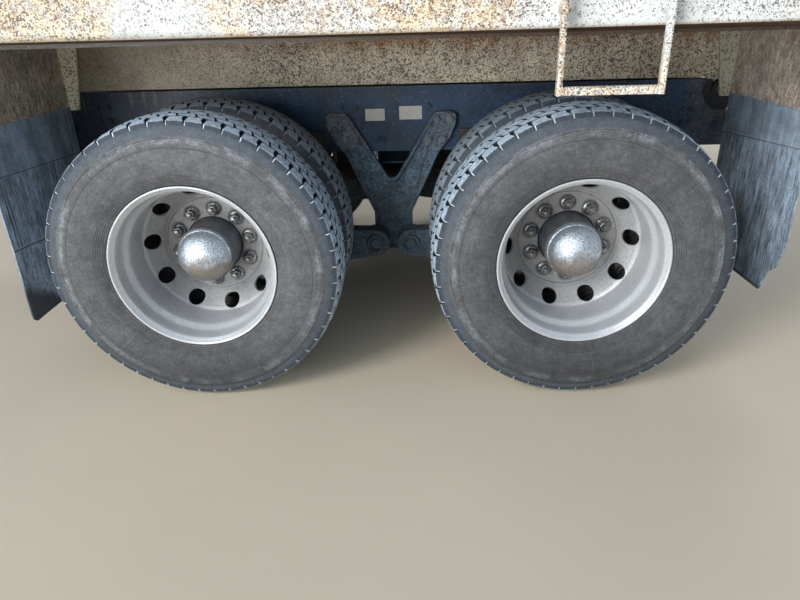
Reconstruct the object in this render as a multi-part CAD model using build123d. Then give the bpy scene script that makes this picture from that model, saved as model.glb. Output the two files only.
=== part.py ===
"""The rear tandem section of a heavy dump truck, in millimetres.

It is a stretch of the chassis with two driven axles on air suspension, four dual wheel
stations and mud flaps. Above it is the same stretch of the tipping body's underframe,
which turns on a shaft at the rear of the frame.
+X points to the rear of the truck, +Y to its right side and +Z up. The origin is on the
ground, on the centre plane, midway between the two axles.
Each piece is drawn for the right side and mirrored to the left.
"""

from build123d import *
import math
import os

# Wheels and tyres
TYRE_DIAMETER = 1050.0
TYRE_WIDTH = 279.0
TREAD_WIDTH = 220.0
SIDEWALL_BULGE_RADIUS = 405.0
RIM_SEAT_DIAMETER = 571.5
RIM_FLANGE_DIAMETER = 597.0
RIM_WIDTH = 209.6
RIM_FLANGE_THICKNESS = 12.0
RIM_WELL_RADIUS = 258.0
RIM_SHELL = 8.0
RIM_STEP_OFFSET = 20.0
RIM_STEP_LENGTH = 28.0
DUAL_SPACING = 343.0
DISC_THICKNESS = 11.0
DISC_FLAT_RADIUS = 188.0
DISC_BORE_RADIUS = 110.0
DISC_DISH = 72.0
HAND_HOLES = 10
HAND_HOLE_DIAMETER = 66.0
HAND_HOLE_CIRCLE = 454.0
FRONT_HAND_HOLE_TURN = 24.0
REAR_HAND_HOLE_TURN = 14.5

# Hubs and drums
HUB_BARREL_RADIUS = 105.0
HUB_BARREL_LENGTH = 138.0
HUB_FLANGE_RADIUS = 168.0
HUB_FLANGE_THICKNESS = 24.0
DRUM_OUTER_RADIUS = 222.0
DRUM_WALL = 13.0
DRUM_LENGTH = 206.0
DRUM_SHOULDER = 34.0
DRUM_BACK_THICKNESS = 16.0
CAP_RADIUS = 99.0
CAP_SKIRT = 14.0
CAP_DOME_HEIGHT = 70.0
CAP_SHOULDER_RADIUS = 76.0
CAP_SHOULDER_HEIGHT = 42.0
CAP_CROWN_RADIUS = 32.0

# Axles
AXLE_SPACING = 1366.0
TRACK = 1815.0
AXLE_TUBE_RADIUS = 70.0
SPINDLE_RADIUS = 55.0
SPINDLE_CLEARANCE = 0.3
SPINDLE_END_GAP = 26.0
BACKING_PLATE_RADIUS = 206.0
BACKING_PLATE_THICKNESS = 8.0
BACKING_PLATE_GAP = 9.0
BANJO_RADIUS = 205.0
BANJO_HALF_WIDTH = 78.0
COVER_RADIUS = 176.0
COVER_HEIGHT = 62.0
COVER_CROWN_RADIUS = 80.0
REAR_OUTPUT_BEYOND_COVER = 22.0
CARRIER_BASE_RADIUS = 138.0
CARRIER_NOSE_RADIUS = 72.0
CARRIER_LENGTH = 250.0
SHAFT_HEIGHT_ABOVE_HUB = 60.0
COMPANION_FLANGE_RADIUS = 76.0
COMPANION_FLANGE_THICKNESS = 14.0
FLANGE_BOLTS = 8
FLANGE_BOLT_CIRCLE_DIAMETER = 122.0
FLANGE_BOLT_HOLE = 12.0
PROPSHAFT_RADIUS = 45.0
JOINT_YOKE_RADIUS = 52.0
JOINT_YOKE_LENGTH = 90.0

# Chassis frame
FRAME_WIDTH = 864.0
FRAME_HEIGHT = 273.0
FRAME_BOTTOM_ABOVE_HUB = 249.0
FRAME_THICKNESS = 10.0
FRAME_FLANGE_WIDTH = 90.0
FRAME_FRONT_X = -1560.0
FRAME_REAR_X = 1500.0
CROSSMEMBER_FLANGE = 70.0
CROSSMEMBER_PLATE = 8.0
CENTRE_CROSSMEMBER_DROP = 74.0
CENTRE_CROSSMEMBER_DEPTH = 220.0
FRONT_CROSSMEMBER_FROM_FRAME_END = 260.0
REAR_CROSSMEMBER_FROM_FRAME_END = 280.0

# Centre hangers and their arms
HANGER_TOP_ABOVE_HUB = 418.0
HANGER_TOP_OUTER_X = 285.0
HANGER_TOP_INNER_X = 190.0
HANGER_NOTCH_ABOVE_HUB = 108.0
HANGER_WAIST_X = 86.0
HANGER_WAIST_BELOW_HUB = 20.0
HANGER_FOOT_BELOW_HUB = 200.0
HANGER_CORNER_RADIUS = 26.0
HANGER_PLATE = 20.0
HANGER_RIB_WIDTH = 15.0
HANGER_RIB_HEIGHT = 16.0
EYE_SPACING = 158.0
EYE_BELOW_HUB = 141.0
EYE_RADIUS = 60.0
EYE_PIN_RADIUS = 32.0
EYE_PIN_HEAD_RADIUS = 40.0
EYE_PIN_HEAD_THICKNESS = 12.0
ARM_GAP = 4.0
ARM_WIDTH = 76.0
ARM_DEPTH = 141.0
ARM_TOP_BELOW_HUB = 78.0
ARM_TAIL_DEPTH = 80.0
SADDLE_HALF_LENGTH = 88.0
SADDLE_HEIGHT = 66.0

# Air springs and shock absorbers
SPRING_X = 1010.0
SPRING_Y = 430.0
SPRING_BELLOWS_RADIUS = 125.0
SPRING_NECK_RADIUS = 104.0
SPRING_PISTON_RADIUS = 88.0
SPRING_PISTON_HEIGHT = 110.0
SPRING_PLATE = 12.0
SHOCK_TOP_X = 330.0
SHOCK_TOP_ABOVE_HUB = 300.0
SHOCK_FOOT_X = 470.0
SHOCK_FOOT_BELOW_HUB = 36.0
SHOCK_SHROUD_RADIUS = 38.0
SHOCK_BODY_RADIUS = 31.0
SHOCK_EYE_RADIUS = 26.0
SHOCK_EYE_WIDTH = 44.0
SHOCK_PIN_RADIUS = 12.0
SHOCK_PIN_END = 8.0
SHOCK_SPLIT = 0.55
SHOCK_EYE_SHOULDER = 2.0
SHOCK_BRACKET_WIDTH = 66.0
SHOCK_BRACKET_HEIGHT = 84.0

# Torque rods and brake chambers
ROD_RADIUS = 25.0
ROD_APEX_ABOVE_HUB = 240.0
ROD_APEX_RADIUS = 46.0
ROD_FRAME_X = 215.0
ROD_FRAME_ABOVE_HUB = 316.0
ROD_END_RADIUS = 38.0
ROD_BRACKET_LENGTH = 92.0
ROD_BRACKET_DEPTH = 46.0
CHAMBER_RADIUS = 82.0
CHAMBER_BAND_RADIUS = 90.0
CHAMBER_LENGTH = 180.0
CHAMBER_BAND_WIDTH = 18.0
CHAMBER_Y = 320.0
CHAMBER_ABOVE_HUB = 120.0
CHAMBER_FROM_AXLE = 96.0
CHAMBER_BRACKET_PLATE = 12.0
CAM_TUBE_RADIUS = 22.0

# Mud flaps and their brackets
REAR_FLAP_FROM_FRAME_END = 85.0
FRONT_FLAP_FROM_FRAME_END = 175.0
FLAP_FROM_WEB = 6.0
FLAP_EDGE_FROM_WHEEL_MIDDLE = 15.0
FLAP_PLATE = 6.0
FLAP_PLATE_BOTTOM_ABOVE_HUB = 470.0
FLAP_PLATE_TOP_ABOVE_HUB = 735.0
FLAP_RUBBER = 10.0
FLAP_CLAMP = 50.0
REAR_FLAP_BELOW_HUB = 210.0
FRONT_FLAP_BELOW_HUB = 275.0
LEG_TOP_ABOVE_HUB = 715.0
LEG_BOTTOM_ABOVE_HUB = 455.0
LEG_TOP_WIDTH = 84.0
LEG_BOTTOM_WIDTH = 38.0
LEG_THICKNESS = 12.0
LEG_FROM_WEB = 12.0
FLAP_ANGLE_PLATE = 8.0
FLAP_ANGLE_REACH = 150.0
FLAP_ANGLE_FOOT = 68.0
FLAP_ANGLE_FOOT_HEIGHT = 115.0
FLAP_ANGLE_ABOVE_FRAME_BOTTOM = 26.0

# Tipping body
BODY_WIDTH = 2438.0
BODY_REAR_OVERHANG = 60.0
BODY_GAP_ABOVE_FRAME = 8.0
SILL_TOP_ABOVE_HUB = 745.0
SILL_WIDTH = 80.0
SILL_WALL = 8.0
CROSS_SILLS = 9
CROSS_SILL_HEIGHT = 100.0
CROSS_SILL_FLANGE = 60.0
CROSS_SILL_WALL = 6.0
CROSS_SILL_END_MARGIN = 40.0
FLOOR_THICKNESS = 8.0
RAIL_WIDTH = 70.0
RAIL_BOTTOM_ABOVE_HUB = 743.0
RAIL_HEIGHT = 198.0
RAIL_WALL = 8.0
RAIL_EDGE_RADIUS = 32.0
RAIL_LIP_DEPTH = 13.0
RAIL_LIP_INSET = 50.0

# Body hinge
HINGE_FROM_FRAME_END = 100.0
HINGE_BELOW_FRAME_TOP = 42.0
HINGE_SHAFT_RADIUS = 25.0
HINGE_CLEARANCE = 0.3
HINGE_NOTCH_RADIUS = 85.0
HINGE_BRACKET_THICKNESS = 20.0
HINGE_BRACKET_BOSS_RADIUS = 43.0
HINGE_BRACKET_HALF_LENGTH = 80.0
HINGE_BRACKET_BASE_HEIGHT = 100.0
HINGE_BRACKET_REAR_MARGIN = 20.0
HINGE_LUG_GAP = 7.0
HINGE_LUG_THICKNESS = 25.0
HINGE_LUG_BOSS_RADIUS = 46.0
HINGE_LUG_HALF_LENGTH = 64.0

# Access step
STEP_FRONT_X = 525.0
STEP_REAR_X = 840.0
STEP_BAR = 25.0
STEP_UPRIGHT_WIDTH = 17.0
STEP_STANDOFF = 40.0
STEP_BOTTOM_ABOVE_HUB = 569.0
STEP_TOP_ABOVE_HUB = 925.0
STEP_LOW_FIXING_ABOVE_HUB = 790.0

# Places that follow from the sizes above
HUB_Z = TYRE_DIAMETER / 2
FRONT_AXLE_X = -AXLE_SPACING / 2
REAR_AXLE_X = AXLE_SPACING / 2
DUAL_Y = TRACK / 2
DUAL_OFFSET = DUAL_SPACING / 2
OUTER_WHEEL_Y = DUAL_Y + DUAL_OFFSET
INNER_WHEEL_Y = DUAL_Y - DUAL_OFFSET
WEB_Y = FRAME_WIDTH / 2
WEB_INNER_Y = WEB_Y - FRAME_THICKNESS
FRAME_BOTTOM_Z = HUB_Z + FRAME_BOTTOM_ABOVE_HUB
FRAME_TOP_Z = FRAME_BOTTOM_Z + FRAME_HEIGHT
FRONT_CROSSMEMBER_X = FRAME_FRONT_X + FRONT_CROSSMEMBER_FROM_FRAME_END
REAR_CROSSMEMBER_X = FRAME_REAR_X - REAR_CROSSMEMBER_FROM_FRAME_END
FRONT_FLAP_X = FRAME_FRONT_X + FRONT_FLAP_FROM_FRAME_END
REAR_FLAP_X = FRAME_REAR_X - REAR_FLAP_FROM_FRAME_END
FLAP_INNER_Y = WEB_Y + FLAP_FROM_WEB
FLAP_OUTER_Y = OUTER_WHEEL_Y - FLAP_EDGE_FROM_WHEEL_MIDDLE
BODY_FRONT_X = FRAME_FRONT_X
BODY_REAR_X = FRAME_REAR_X + BODY_REAR_OVERHANG
HINGE_X = FRAME_REAR_X - HINGE_FROM_FRAME_END
HINGE_Z = FRAME_TOP_Z - HINGE_BELOW_FRAME_TOP
SILL_BOTTOM_Z = FRAME_TOP_Z + BODY_GAP_ABOVE_FRAME
SILL_TOP_Z = HUB_Z + SILL_TOP_ABOVE_HUB
FLOOR_BOTTOM_Z = SILL_TOP_Z + CROSS_SILL_HEIGHT
RAIL_OUTER_Y = BODY_WIDTH / 2
RAIL_INNER_Y = RAIL_OUTER_Y - RAIL_WIDTH
SHAFT_Z = HUB_Z + SHAFT_HEIGHT_ABOVE_HUB
REAR_OUTPUT_LENGTH = BANJO_HALF_WIDTH + COVER_HEIGHT + REAR_OUTPUT_BEYOND_COVER
SHOCK_FOOT_Z = HUB_Z - SHOCK_FOOT_BELOW_HUB
SHOCK_TOP_Z = HUB_Z + SHOCK_TOP_ABOVE_HUB
HANGER_OUTER_Y = WEB_Y + HANGER_PLATE
ARM_INNER_Y = HANGER_OUTER_Y + HANGER_RIB_HEIGHT + ARM_GAP
ARM_OUTER_Y = ARM_INNER_Y + ARM_WIDTH
ARM_Y = (ARM_INNER_Y + ARM_OUTER_Y) / 2
ARM_TOP_Z = HUB_Z - ARM_TOP_BELOW_HUB
EYE_X = EYE_SPACING / 2
EYE_Z = HUB_Z - EYE_BELOW_HUB
HUB_FLANGE_INNER_Y = DUAL_Y - DISC_THICKNESS - HUB_FLANGE_THICKNESS
DRUM_OPEN_Y = HUB_FLANGE_INNER_Y - DRUM_LENGTH
HUB_END_Y = DUAL_Y + HUB_BARREL_LENGTH


def block(x, y, z):
    """A box between two limits on each axis."""
    size = [high - low for low, high in (x, y, z)]
    centre = [(low + high) / 2 for low, high in (x, y, z)]
    return Pos(*centre) * Box(*size)


def turned(points):
    """A ring or disc about the Y axis, from (radius, offset along Y) points."""
    return revolve(make_face(Polyline(*points, close=True)), Axis.Y)


def turned_z(points):
    """A ring or disc about the Z axis, from (radius, height) points."""
    outline = Polyline(*[(radius, 0, height) for radius, height in points], close=True)
    return revolve(make_face(outline), Axis.Z)


def side_plate(outline, inner_y, outer_y):
    """A plate standing along X, cut to an outline drawn in X and Z."""
    face = Plane.XZ * outline
    return Pos(0, outer_y, 0) * extrude(face, outer_y - inner_y, dir=(0, -1, 0))


def outline_of(points, radius=0.0):
    """A closed outline through (x, z) points, its corners rounded if asked."""
    face = make_face(Polyline(*points, close=True))
    return fillet(face.vertices(), radius) if radius else face


def rod_between(start, end, radius):
    """A round rod from one point to another."""
    start, end = Vector(start), Vector(end)
    axis = end - start
    place = Plane(origin=start, z_dir=axis)
    return place * extrude(Circle(radius), axis.length)


def across(radius, x, z, inner_y, outer_y):
    """A round bar parallel to Y between two offsets from the centre plane."""
    bar = Rot(-90, 0, 0) * Cylinder(
        radius, outer_y - inner_y, align=(Align.CENTER, Align.CENTER, Align.MIN)
    )
    return Pos(x, inner_y, z) * bar


def both_sides(shape):
    """The right piece and its mirror on the left."""
    return [shape, mirror(shape, about=Plane.XZ)]


def both_ends(shape):
    """The rear piece and its mirror at the front."""
    return [shape, mirror(shape, about=Plane.YZ)]


NODES = {}


def keep(name, *shapes):
    """Store the solids of one node."""
    solids = [solid for shape in shapes for solid in shape.solids()]
    NODES[name] = solids[0] if len(solids) == 1 else Compound(children=solids)


def keep_pair(name, *shapes):
    """Store a piece of the right side and its mirror on the left."""
    keep(name + "_right", *shapes)
    keep(name + "_left", *[mirror(shape, about=Plane.XZ) for shape in shapes])


def tyre(centre_y):
    """One tyre: a tread band, two bulged sidewalls and the bore that seats on the rim."""
    outer = TYRE_DIAMETER / 2
    seat = RIM_SEAT_DIAMETER / 2
    half = [
        (outer, TREAD_WIDTH / 2),
        (SIDEWALL_BULGE_RADIUS, TYRE_WIDTH / 2),
        (seat, RIM_WIDTH / 2),
    ]
    points = half + [(radius, -offset) for radius, offset in reversed(half)]
    return Pos(0, centre_y, 0) * turned(points)


def rim(centre_y, outward):
    """One steel disc wheel: a drop-centre rim with its dished disc.

    The disc's mounting face lies half the dual spacing from the rim's middle, on the
    side away from outward, which is 1 or -1.
    """
    lip = RIM_WIDTH / 2 + RIM_FLANGE_THICKNESS
    seat = RIM_SEAT_DIAMETER / 2
    flange = RIM_FLANGE_DIAMETER / 2
    inside = seat - RIM_SHELL
    shell_edge = lip - RIM_FLANGE_THICKNESS
    flat_back = -DUAL_OFFSET
    flat_front = flat_back + DISC_THICKNESS
    dish_front = flat_front + DISC_DISH
    dish_back = flat_back + DISC_DISH
    step = RIM_STEP_OFFSET
    points = [
        (seat, shell_edge),
        (flange, lip),
        (inside, shell_edge),
        (inside, step + RIM_STEP_LENGTH),
        (RIM_WELL_RADIUS, step),
        (RIM_WELL_RADIUS, dish_front),
        (DISC_FLAT_RADIUS, flat_front),
        (DISC_BORE_RADIUS, flat_front),
        (DISC_BORE_RADIUS, flat_back),
        (DISC_FLAT_RADIUS, flat_back),
        (RIM_WELL_RADIUS + RIM_SHELL, dish_back),
        (inside, -shell_edge),
        (flange, -lip),
        (seat, -shell_edge),
    ]
    return Pos(0, centre_y, 0) * turned([(radius, outward * offset) for radius, offset in points])


def hand_hole_punches(centre_y, outward, first_turn):
    """Round bars square to a disc's slope, one through each of its hand holes."""
    rise = RIM_WELL_RADIUS - DISC_FLAT_RADIUS
    slope = math.degrees(math.atan2(DISC_DISH, rise))
    radius = HAND_HOLE_CIRCLE / 2
    middle = -DUAL_OFFSET + DISC_THICKNESS / 2
    place_y = centre_y + outward * (middle + DISC_DISH * (radius - DISC_FLAT_RADIUS) / rise)
    bar = Cylinder(HAND_HOLE_DIAMETER / 2, 4 * DISC_THICKNESS)
    punch = Pos(0, place_y, radius) * Rot(outward * (slope - 90), 0, 0) * bar
    step = 360 / HAND_HOLES
    return [Rot(0, first_turn + index * step, 0) * punch for index in range(HAND_HOLES)]


def hub_and_drum():
    """The hub barrel and flange, with the brake drum that turns on it."""
    bore = SPINDLE_RADIUS + SPINDLE_CLEARANCE
    flange_outer = HUB_FLANGE_INNER_Y + HUB_FLANGE_THICKNESS
    inner_wall = DRUM_OUTER_RADIUS - DRUM_WALL
    shoulder = HUB_FLANGE_INNER_Y - DRUM_SHOULDER
    back = HUB_FLANGE_INNER_Y - DRUM_BACK_THICKNESS
    return turned(
        [
            (bore, shoulder),
            (bore, HUB_END_Y),
            (HUB_BARREL_RADIUS, HUB_END_Y),
            (HUB_BARREL_RADIUS, flange_outer),
            (HUB_FLANGE_RADIUS, flange_outer),
            (HUB_FLANGE_RADIUS, HUB_FLANGE_INNER_Y),
            (DRUM_OUTER_RADIUS, shoulder),
            (DRUM_OUTER_RADIUS, DRUM_OPEN_Y),
            (inner_wall, DRUM_OPEN_Y),
            (inner_wall, shoulder - DRUM_BACK_THICKNESS),
            (HUB_FLANGE_RADIUS, back - DRUM_BACK_THICKNESS),
            (HUB_BARREL_RADIUS, back - DRUM_BACK_THICKNESS),
            (HUB_BARREL_RADIUS, shoulder - DRUM_SHOULDER),
            (bore, shoulder - DRUM_SHOULDER),
        ]
    )


def hub_cap():
    """The domed cap that closes the hub's outer end, its dome in two slopes."""
    skirt_end = HUB_END_Y + CAP_SKIRT
    return turned(
        [
            (0, HUB_END_Y),
            (CAP_RADIUS, HUB_END_Y),
            (CAP_RADIUS, skirt_end),
            (CAP_SHOULDER_RADIUS, skirt_end + CAP_SHOULDER_HEIGHT),
            (CAP_CROWN_RADIUS, skirt_end + CAP_DOME_HEIGHT),
            (0, skirt_end + CAP_DOME_HEIGHT),
        ]
    )


def wheel_stations():
    """Four stations, each with two tyres, two rims, a hub with its drum and a cap."""
    pieces = {
        "tyres": [tyre(OUTER_WHEEL_Y), tyre(INNER_WHEEL_Y)],
        "hub_drum": [hub_and_drum()],
        "hub_cap": [hub_cap()],
    }
    rims = {"outer_rim": (OUTER_WHEEL_Y, 1), "inner_rim": (INNER_WHEEL_Y, -1)}
    for axle, axle_x, hole_turn in (
        ("front", FRONT_AXLE_X, FRONT_HAND_HOLE_TURN),
        ("rear", REAR_AXLE_X, REAR_HAND_HOLE_TURN),
    ):
        for name, (centre_y, outward) in rims.items():
            pieces[name] = [rim(centre_y, outward) - hand_hole_punches(centre_y, outward, hole_turn)]
        for piece, shapes in pieces.items():
            placed = [Pos(axle_x, 0, HUB_Z) * shape for shape in shapes]
            keep_pair(f"{piece}_{axle}", *placed)


def axle_housing(axle_x, has_rear_output):
    """A drive axle: tubes, spindles and backing plates, a round housing and its carrier."""
    plate_outer = DRUM_OPEN_Y - BACKING_PLATE_GAP
    plate_inner = plate_outer - BACKING_PLATE_THICKNESS
    spindle_end = HUB_END_Y - SPINDLE_END_GAP
    half_points = [
        (0, 0),
        (AXLE_TUBE_RADIUS, 0),
        (AXLE_TUBE_RADIUS, plate_inner),
        (BACKING_PLATE_RADIUS, plate_inner),
        (BACKING_PLATE_RADIUS, plate_outer),
        (SPINDLE_RADIUS, plate_outer),
        (SPINDLE_RADIUS, spindle_end),
        (0, spindle_end),
    ]
    half = turned(half_points)
    housing = half + mirror(half, about=Plane.XZ)
    cover_end = BANJO_HALF_WIDTH + COVER_HEIGHT
    bowl = Polyline(
        (-BANJO_HALF_WIDTH, 0),
        (-BANJO_HALF_WIDTH, BANJO_RADIUS),
        (BANJO_HALF_WIDTH, BANJO_RADIUS),
        (BANJO_HALF_WIDTH, COVER_RADIUS),
        (cover_end, COVER_CROWN_RADIUS),
        (cover_end, 0),
        close=True,
    )
    housing += revolve(make_face(bowl), Axis.X)
    nose_x = -BANJO_HALF_WIDTH - CARRIER_LENGTH
    nose = Polyline(
        (-BANJO_HALF_WIDTH, 0),
        (-BANJO_HALF_WIDTH, CARRIER_BASE_RADIUS),
        (nose_x, CARRIER_NOSE_RADIUS),
        (nose_x, 0),
        close=True,
    )
    housing += Pos(0, 0, SHAFT_HEIGHT_ABOVE_HUB) * revolve(make_face(nose), Axis.X)
    nose_end = Plane(origin=(nose_x, 0, SHAFT_HEIGHT_ABOVE_HUB), z_dir=(-1, 0, 0))
    housing += nose_end * extrude(companion_flange(), COMPANION_FLANGE_THICKNESS)
    if has_rear_output:
        output = Plane(origin=(0, 0, SHAFT_HEIGHT_ABOVE_HUB), z_dir=(1, 0, 0))
        housing += output * extrude(Circle(CARRIER_NOSE_RADIUS), REAR_OUTPUT_LENGTH)
        face = Plane(origin=(REAR_OUTPUT_LENGTH, 0, SHAFT_HEIGHT_ABOVE_HUB), z_dir=(1, 0, 0))
        housing += face * extrude(companion_flange(), COMPANION_FLANGE_THICKNESS)
    return Pos(axle_x, 0, HUB_Z) * housing


def companion_flange():
    """The face of a propshaft flange with its bolt holes."""
    holes = PolarLocations(FLANGE_BOLT_CIRCLE_DIAMETER / 2, FLANGE_BOLTS) * Circle(FLANGE_BOLT_HOLE / 2)
    return Circle(COMPANION_FLANGE_RADIUS) - holes


def propshaft():
    """The shaft between the two axles: a tube with a joint and flange at each end."""
    start = FRONT_AXLE_X + REAR_OUTPUT_LENGTH + COMPANION_FLANGE_THICKNESS
    end = REAR_AXLE_X - BANJO_HALF_WIDTH - CARRIER_LENGTH - COMPANION_FLANGE_THICKNESS
    tube = rod_between((start, 0, SHAFT_Z), (end, 0, SHAFT_Z), PROPSHAFT_RADIUS)
    for place, way in ((start, 1), (end, -1)):
        face = Plane(origin=(place, 0, SHAFT_Z), z_dir=(way, 0, 0))
        tube += face * extrude(companion_flange(), COMPANION_FLANGE_THICKNESS)
        tube += face * extrude(Circle(JOINT_YOKE_RADIUS), JOINT_YOKE_LENGTH)
    return tube


def frame_rail():
    """A channel rail, its web outside, cut away round the body hinge at the rear."""
    x = (FRAME_FRONT_X, FRAME_REAR_X)
    rail = block(x, (WEB_Y - FRAME_FLANGE_WIDTH, WEB_Y), (FRAME_BOTTOM_Z, FRAME_TOP_Z))
    rail -= block(
        x,
        (WEB_Y - FRAME_FLANGE_WIDTH, WEB_INNER_Y),
        (FRAME_BOTTOM_Z + FRAME_THICKNESS, FRAME_TOP_Z - FRAME_THICKNESS),
    )
    rail -= across(HINGE_NOTCH_RADIUS, HINGE_X, HINGE_Z, WEB_Y - FRAME_FLANGE_WIDTH, WEB_Y)
    rail -= block(
        (HINGE_X, FRAME_REAR_X),
        (WEB_Y - FRAME_FLANGE_WIDTH, WEB_Y),
        (HINGE_Z - HINGE_NOTCH_RADIUS, FRAME_TOP_Z),
    )
    return rail


def channel_across(x, z, half_length, open_way, wall):
    """A channel along Y between two limits in X and Z, open to one side."""
    beam = block(x, (-half_length, half_length), z)
    inner_x = (x[0] + wall, x[1]) if open_way > 0 else (x[0], x[1] - wall)
    return beam - block(inner_x, (-half_length, half_length), (z[0] + wall, z[1] - wall))


def frame_crossmembers():
    """Channels between the rails: one at the front, one at the centre and two at the rear."""
    half = WEB_INNER_Y
    low = FRAME_BOTTOM_Z + FRAME_THICKNESS
    high = FRAME_TOP_Z - FRAME_THICKNESS
    front_x = (FRONT_CROSSMEMBER_X, FRONT_CROSSMEMBER_X + CROSSMEMBER_FLANGE)
    rear_x = (REAR_CROSSMEMBER_X, REAR_CROSSMEMBER_X + CROSSMEMBER_FLANGE)
    end_x = (FRAME_REAR_X - CROSSMEMBER_FLANGE, FRAME_REAR_X)
    end_top = low + HINGE_BRACKET_BASE_HEIGHT
    centre_low = FRAME_BOTTOM_Z - CENTRE_CROSSMEMBER_DROP
    centre = channel_across(
        (-CROSSMEMBER_FLANGE, CROSSMEMBER_FLANGE),
        (centre_low, centre_low + CENTRE_CROSSMEMBER_DEPTH),
        WEB_Y - FRAME_FLANGE_WIDTH,
        1,
        CROSSMEMBER_PLATE,
    )
    for member in both_sides(
        block(
            (-CROSSMEMBER_FLANGE, CROSSMEMBER_FLANGE),
            (WEB_Y - FRAME_FLANGE_WIDTH, WEB_INNER_Y),
            (low, centre_low + CENTRE_CROSSMEMBER_DEPTH),
        )
    ):
        centre += member
    return [
        channel_across(front_x, (low, high), half, 1, CROSSMEMBER_PLATE),
        centre,
        channel_across(rear_x, (low, high), half, -1, CROSSMEMBER_PLATE),
        channel_across(end_x, (low, end_top), half, -1, CROSSMEMBER_PLATE),
    ]


def centre_hanger():
    """The V-shaped hanger on the rail's web, ribbed at its edge, with the arms' two pins."""
    top = HUB_Z + HANGER_TOP_ABOVE_HUB
    waist = HUB_Z - HANGER_WAIST_BELOW_HUB
    foot = HUB_Z - HANGER_FOOT_BELOW_HUB
    right_half = [
        (HANGER_TOP_INNER_X, top),
        (HANGER_TOP_OUTER_X, top),
        (HANGER_WAIST_X, waist),
        (HANGER_WAIST_X, foot),
    ]
    left_half = [(-x, z) for x, z in reversed(right_half)]
    points = [(0, HUB_Z + HANGER_NOTCH_ABOVE_HUB)] + right_half + left_half
    outline = outline_of(points, HANGER_CORNER_RADIUS)
    hanger = side_plate(outline, WEB_Y, HANGER_OUTER_Y)
    rib = outline - offset(outline, -HANGER_RIB_WIDTH)
    hanger += side_plate(rib, HANGER_OUTER_Y, HANGER_OUTER_Y + HANGER_RIB_HEIGHT)
    head = ARM_OUTER_Y + EYE_PIN_HEAD_THICKNESS
    for x in (-EYE_X, EYE_X):
        hanger += across(EYE_RADIUS, x, EYE_Z, HANGER_OUTER_Y, ARM_INNER_Y)
        hanger += across(EYE_PIN_RADIUS, x, EYE_Z, ARM_INNER_Y, ARM_OUTER_Y)
        hanger += across(EYE_PIN_HEAD_RADIUS, x, EYE_Z, ARM_OUTER_Y, head)
    return hanger


def support_arm():
    """The rear arm: from its eye on the hanger, under the axle, to the air spring."""
    depth_low = ARM_TOP_Z - ARM_DEPTH
    tail_x = SPRING_X + SPRING_BELLOWS_RADIUS
    bend_x = EYE_X + 2 * EYE_RADIUS
    points = [
        (EYE_X, EYE_Z + EYE_RADIUS),
        (bend_x, ARM_TOP_Z),
        (tail_x, ARM_TOP_Z),
        (tail_x, ARM_TOP_Z - ARM_TAIL_DEPTH),
        (REAR_AXLE_X + SADDLE_HALF_LENGTH, depth_low),
        (bend_x, depth_low),
        (EYE_X, EYE_Z - EYE_RADIUS),
    ]
    arm = side_plate(outline_of(points), ARM_INNER_Y, ARM_OUTER_Y)
    arm += across(EYE_RADIUS, EYE_X, EYE_Z, ARM_INNER_Y, ARM_OUTER_Y)
    arm -= across(EYE_PIN_RADIUS, EYE_X, EYE_Z, ARM_INNER_Y, ARM_OUTER_Y)
    saddle_x = (REAR_AXLE_X - SADDLE_HALF_LENGTH, REAR_AXLE_X + SADDLE_HALF_LENGTH)
    arm += block(saddle_x, (ARM_INNER_Y, ARM_OUTER_Y), (ARM_TOP_Z, ARM_TOP_Z + SADDLE_HEIGHT))
    arm -= across(AXLE_TUBE_RADIUS, REAR_AXLE_X, HUB_Z, ARM_INNER_Y, ARM_OUTER_Y)
    seat_x = (SPRING_X - SPRING_BELLOWS_RADIUS, tail_x)
    seat_y = (SPRING_Y - SPRING_PISTON_RADIUS, ARM_OUTER_Y)
    arm += block(seat_x, seat_y, (ARM_TOP_Z, ARM_TOP_Z + SPRING_PLATE))
    ear_x = (SHOCK_FOOT_X - SHOCK_EYE_RADIUS, SHOCK_FOOT_X + SHOCK_EYE_RADIUS)
    ear_z = (ARM_TOP_Z, SHOCK_FOOT_Z + SHOCK_EYE_RADIUS)
    half_eye = SHOCK_EYE_WIDTH / 2
    for ear_y in ((ARM_INNER_Y, ARM_Y - half_eye), (ARM_Y + half_eye, ARM_OUTER_Y)):
        arm += block(ear_x, ear_y, ear_z)
    arm -= across(SHOCK_PIN_RADIUS, SHOCK_FOOT_X, SHOCK_FOOT_Z, ARM_INNER_Y, ARM_OUTER_Y)
    return arm


def air_spring():
    """An air spring between the arm's seat and a plate under the rail."""
    seat = ARM_TOP_Z + SPRING_PLATE
    neck = seat + SPRING_PISTON_HEIGHT
    top = FRAME_BOTTOM_Z - SPRING_PLATE
    middle = (neck + top) / 2
    points = [
        (0, seat),
        (SPRING_PISTON_RADIUS, seat),
        (SPRING_PISTON_RADIUS, neck),
        (SPRING_BELLOWS_RADIUS, neck + SPRING_BELLOWS_RADIUS - SPRING_NECK_RADIUS),
        (SPRING_BELLOWS_RADIUS, middle),
        (SPRING_NECK_RADIUS, top),
        (SPRING_NECK_RADIUS, FRAME_BOTTOM_Z),
        (0, FRAME_BOTTOM_Z),
    ]
    return Pos(SPRING_X, SPRING_Y, 0) * turned_z(points)


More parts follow.
